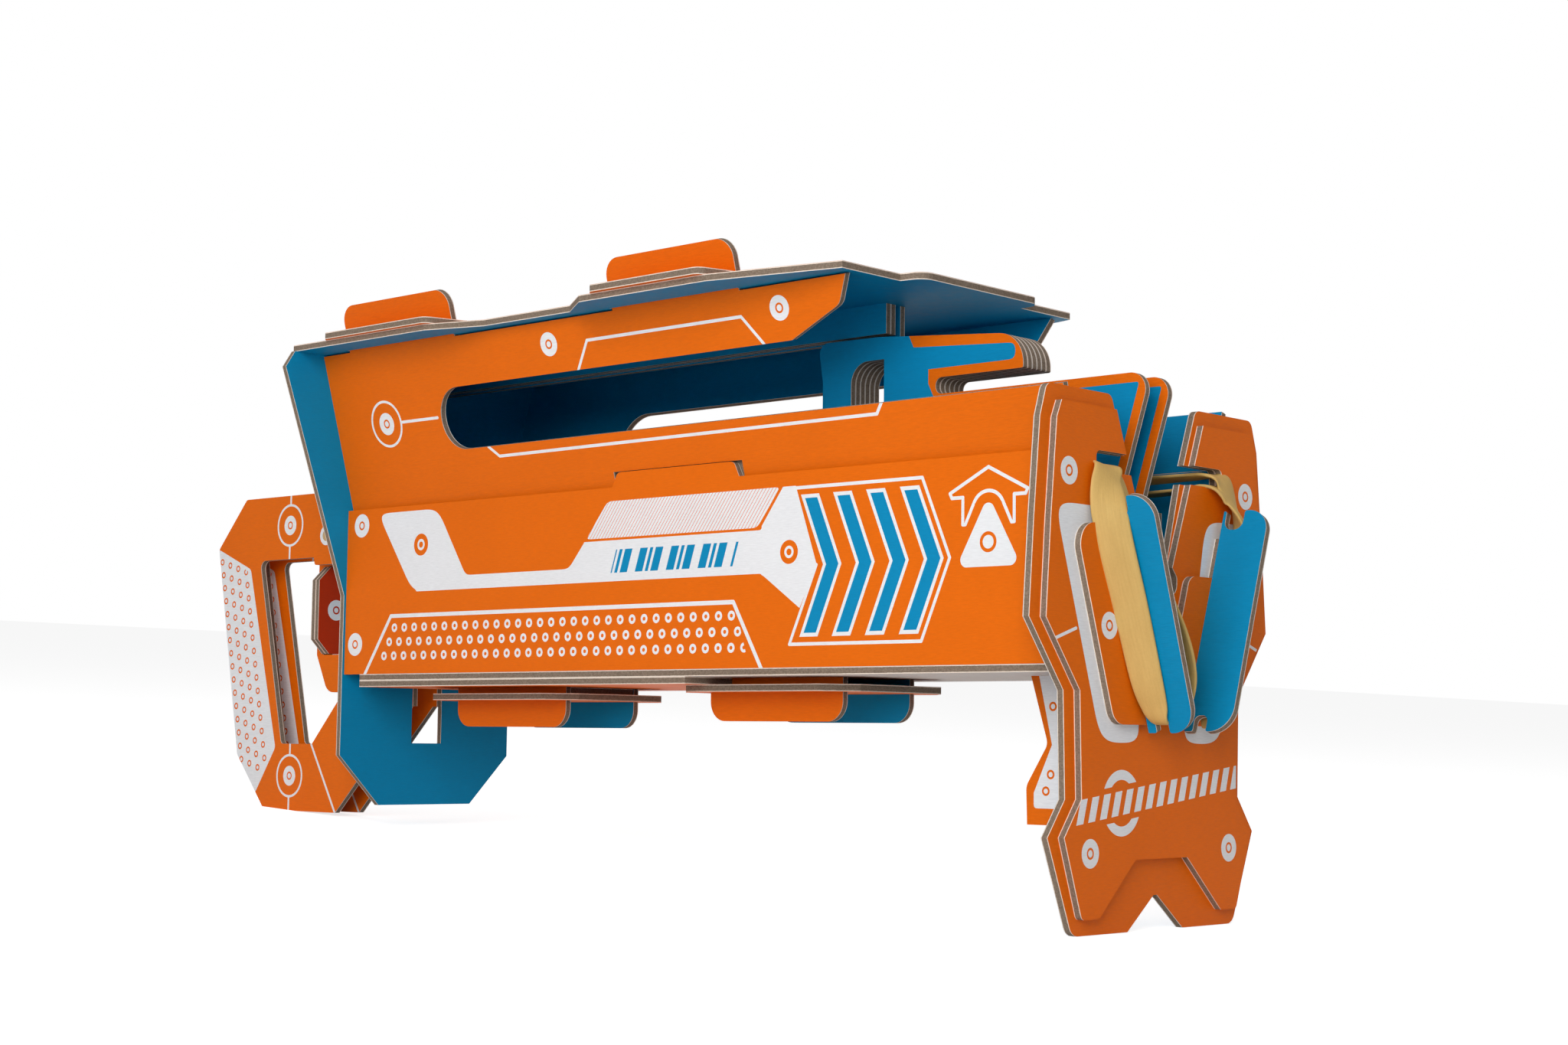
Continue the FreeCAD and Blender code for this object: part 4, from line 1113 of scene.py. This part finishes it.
@dataclass(frozen=True)
class Studio:
    """Floor under the front feet and the handle, soft lights, white surroundings and the camera."""

    front_foot: Pair = (-3.0, -64.6)
    rear_foot: Pair = (-345.0, -45.2)
    eye: Triple = (339.4, -506.9, -19.3)
    heading: float = 42.67
    pitch: float = 5.135
    roll: float = 0.687
    lens: float = 55.79

    def floor(self) -> bpy.types.Object:
        """Plain floor: a plane through both rests, wide enough to run out of sight."""
        slope = (self.front_foot[1] - self.rear_foot[1]) / (self.front_foot[0] - self.rear_foot[0])
        count = 37
        reach = np.linspace(-9000.0, 9000.0, count)
        x, y = np.meshgrid(reach, reach, indexing="ij")
        z = self.front_foot[1] + (x - self.front_foot[0]) * slope
        points = np.stack((x, y, z), -1).reshape(-1, 3) * MM
        steps = np.arange(count - 1)
        i, j = (k.ravel() for k in np.meshgrid(steps, steps, indexing="ij"))
        corner = i * count + j
        faces = np.stack((corner, corner + count, corner + count + 1, corner + 1), 1)
        mesh = bpy.data.meshes.new("floor")
        mesh.from_pydata(points, [], faces.tolist())
        floor = bpy.data.objects.new("floor", mesh)
        bpy.context.scene.collection.objects.link(floor)
        mesh.materials.append(self.floor_paint())
        return floor

    def floor_paint(self) -> bpy.types.Material:
        """White floor that keeps soft shadows: seen directly, it glows a little so that it runs to white."""
        shop = Shop("floor_white")
        matt = shop.node("ShaderNodeBsdfDiffuse", inputs={"Color": (0.86, 0.86, 0.86, 1.0)})
        glow = shop.node("ShaderNodeEmission", inputs={"Color": (1.0, 1.0, 1.0, 1.0), "Strength": 0.74})
        bright = shop.node("ShaderNodeAddShader", inputs={0: matt.outputs[0], 1: glow.outputs[0]})
        seen = self.seen(shop)
        mixed = shop.node("ShaderNodeMixShader", inputs={0: seen, 1: matt.outputs[0], 2: bright.outputs[0]})
        shop.node("ShaderNodeOutputMaterial", inputs={"Surface": mixed.outputs[0]})
        return shop.material

    def seen(self, shop: Shop) -> Signal:
        """1 for rays from the camera and for reflected and transmitted ones."""
        path = shop.node("ShaderNodeLightPath")
        kinds = ("Is Camera Ray", "Is Glossy Ray", "Is Transmission Ray")
        rays = [Signal(shop, path.outputs[kind]) for kind in kinds]
        return rays[0].most(rays[1]).most(rays[2])

    def surroundings(self, ambient: float = 0.22) -> None:
        """White to the camera, and a dimmer white light on the object."""
        shop = Shop("studio_white", bpy.data.worlds)
        bpy.context.scene.world = shop.material
        strength = self.seen(shop) * (1.0 - ambient) + ambient
        light = shop.node("ShaderNodeBackground",
                          inputs={"Color": (1.0, 1.0, 1.0, 1.0), "Strength": strength})
        shop.node("ShaderNodeOutputWorld", inputs={"Surface": light.outputs[0]})

    def lamp(self, name: str, place: Triple, target: Triple, size: float, power: float) -> None:
        """Soft square lamp.

        Args:
            name: its name.
            place: where it stands, in metres.
            target: the point it faces.
            size: its side, in metres.
            power: its power, in watts.
        """
        data = bpy.data.lights.new(name, "AREA")
        data.size, data.energy = size, power
        lamp = bpy.data.objects.new(name, data)
        lamp.location = place
        lamp.rotation_mode = "QUATERNION"
        lamp.rotation_quaternion = (Vector(target) - Vector(place)).to_track_quat("-Z", "Y")
        bpy.context.scene.collection.objects.link(lamp)

    def lights(self) -> None:
        """Large key from the right-hand front side and a weak one from above."""
        self.lamp("key", (0.4, -1.02, 0.4), (-0.05, 0.0, 0.03), 0.8, 10.2)
        self.lamp("top", (-0.1, 0.1, 1.3), (-0.15, 0.0, 0.0), 1.2, 2.5)

    def camera(self) -> None:
        """Camera at its place, turned by heading, pitch and roll."""
        data = bpy.data.cameras.new("camera")
        data.lens, data.sensor_width = self.lens, 36.0
        data.clip_start, data.clip_end = 0.01, 50.0
        camera = bpy.data.objects.new("camera", data)
        a, p, r = (math.radians(v) for v in (self.heading, self.pitch, self.roll))
        ahead = Vector((-math.sin(a) * math.cos(p), math.cos(a) * math.cos(p), math.sin(p)))
        level = Vector((math.cos(a), math.sin(a), 0.0))
        above = level.cross(ahead)
        right = math.cos(r) * level + math.sin(r) * above
        up = math.cos(r) * above - math.sin(r) * level
        turn = Matrix((right, up, -ahead)).transposed()
        camera.matrix_world = Matrix.Translation(Vector(self.eye) * MM) @ turn.to_4x4()
        bpy.context.scene.collection.objects.link(camera)
        bpy.context.scene.camera = camera

    def build(self) -> None:
        """Set up the whole studio."""
        self.floor()
        self.surroundings()
        self.lights()
        self.camera()
        bpy.context.scene.view_settings.view_transform = "Standard"


def main() -> None:
    """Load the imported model, dress its boards, add the bands and set up the studio."""
    logging.basicConfig(level=logging.INFO, format="%(message)s")
    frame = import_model()
    nodes = frame["nodes"]
    for assembly in (BodyShell(nodes), FrontEnd(nodes), Handle(nodes), Carriage(nodes)):
        assembly.dress()
    rubber = TanRubber().build("tan_rubber")
    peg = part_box("band_peg")
    bands = Bands(front=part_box("front_plate_inner")[0].x - 2 * PLY * MM, peg=peg[1].x)
    for name, side, stops in (("right", -1.0, NEAR_STOPS), ("left", 1.0, FAR_STOPS)):
        dress(bands.build(f"band_{name}", side, BandPath(stops), f"rubber_band_{name}"), rubber)
    Studio().build()
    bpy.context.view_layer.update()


if __name__ == "__main__":
    main()
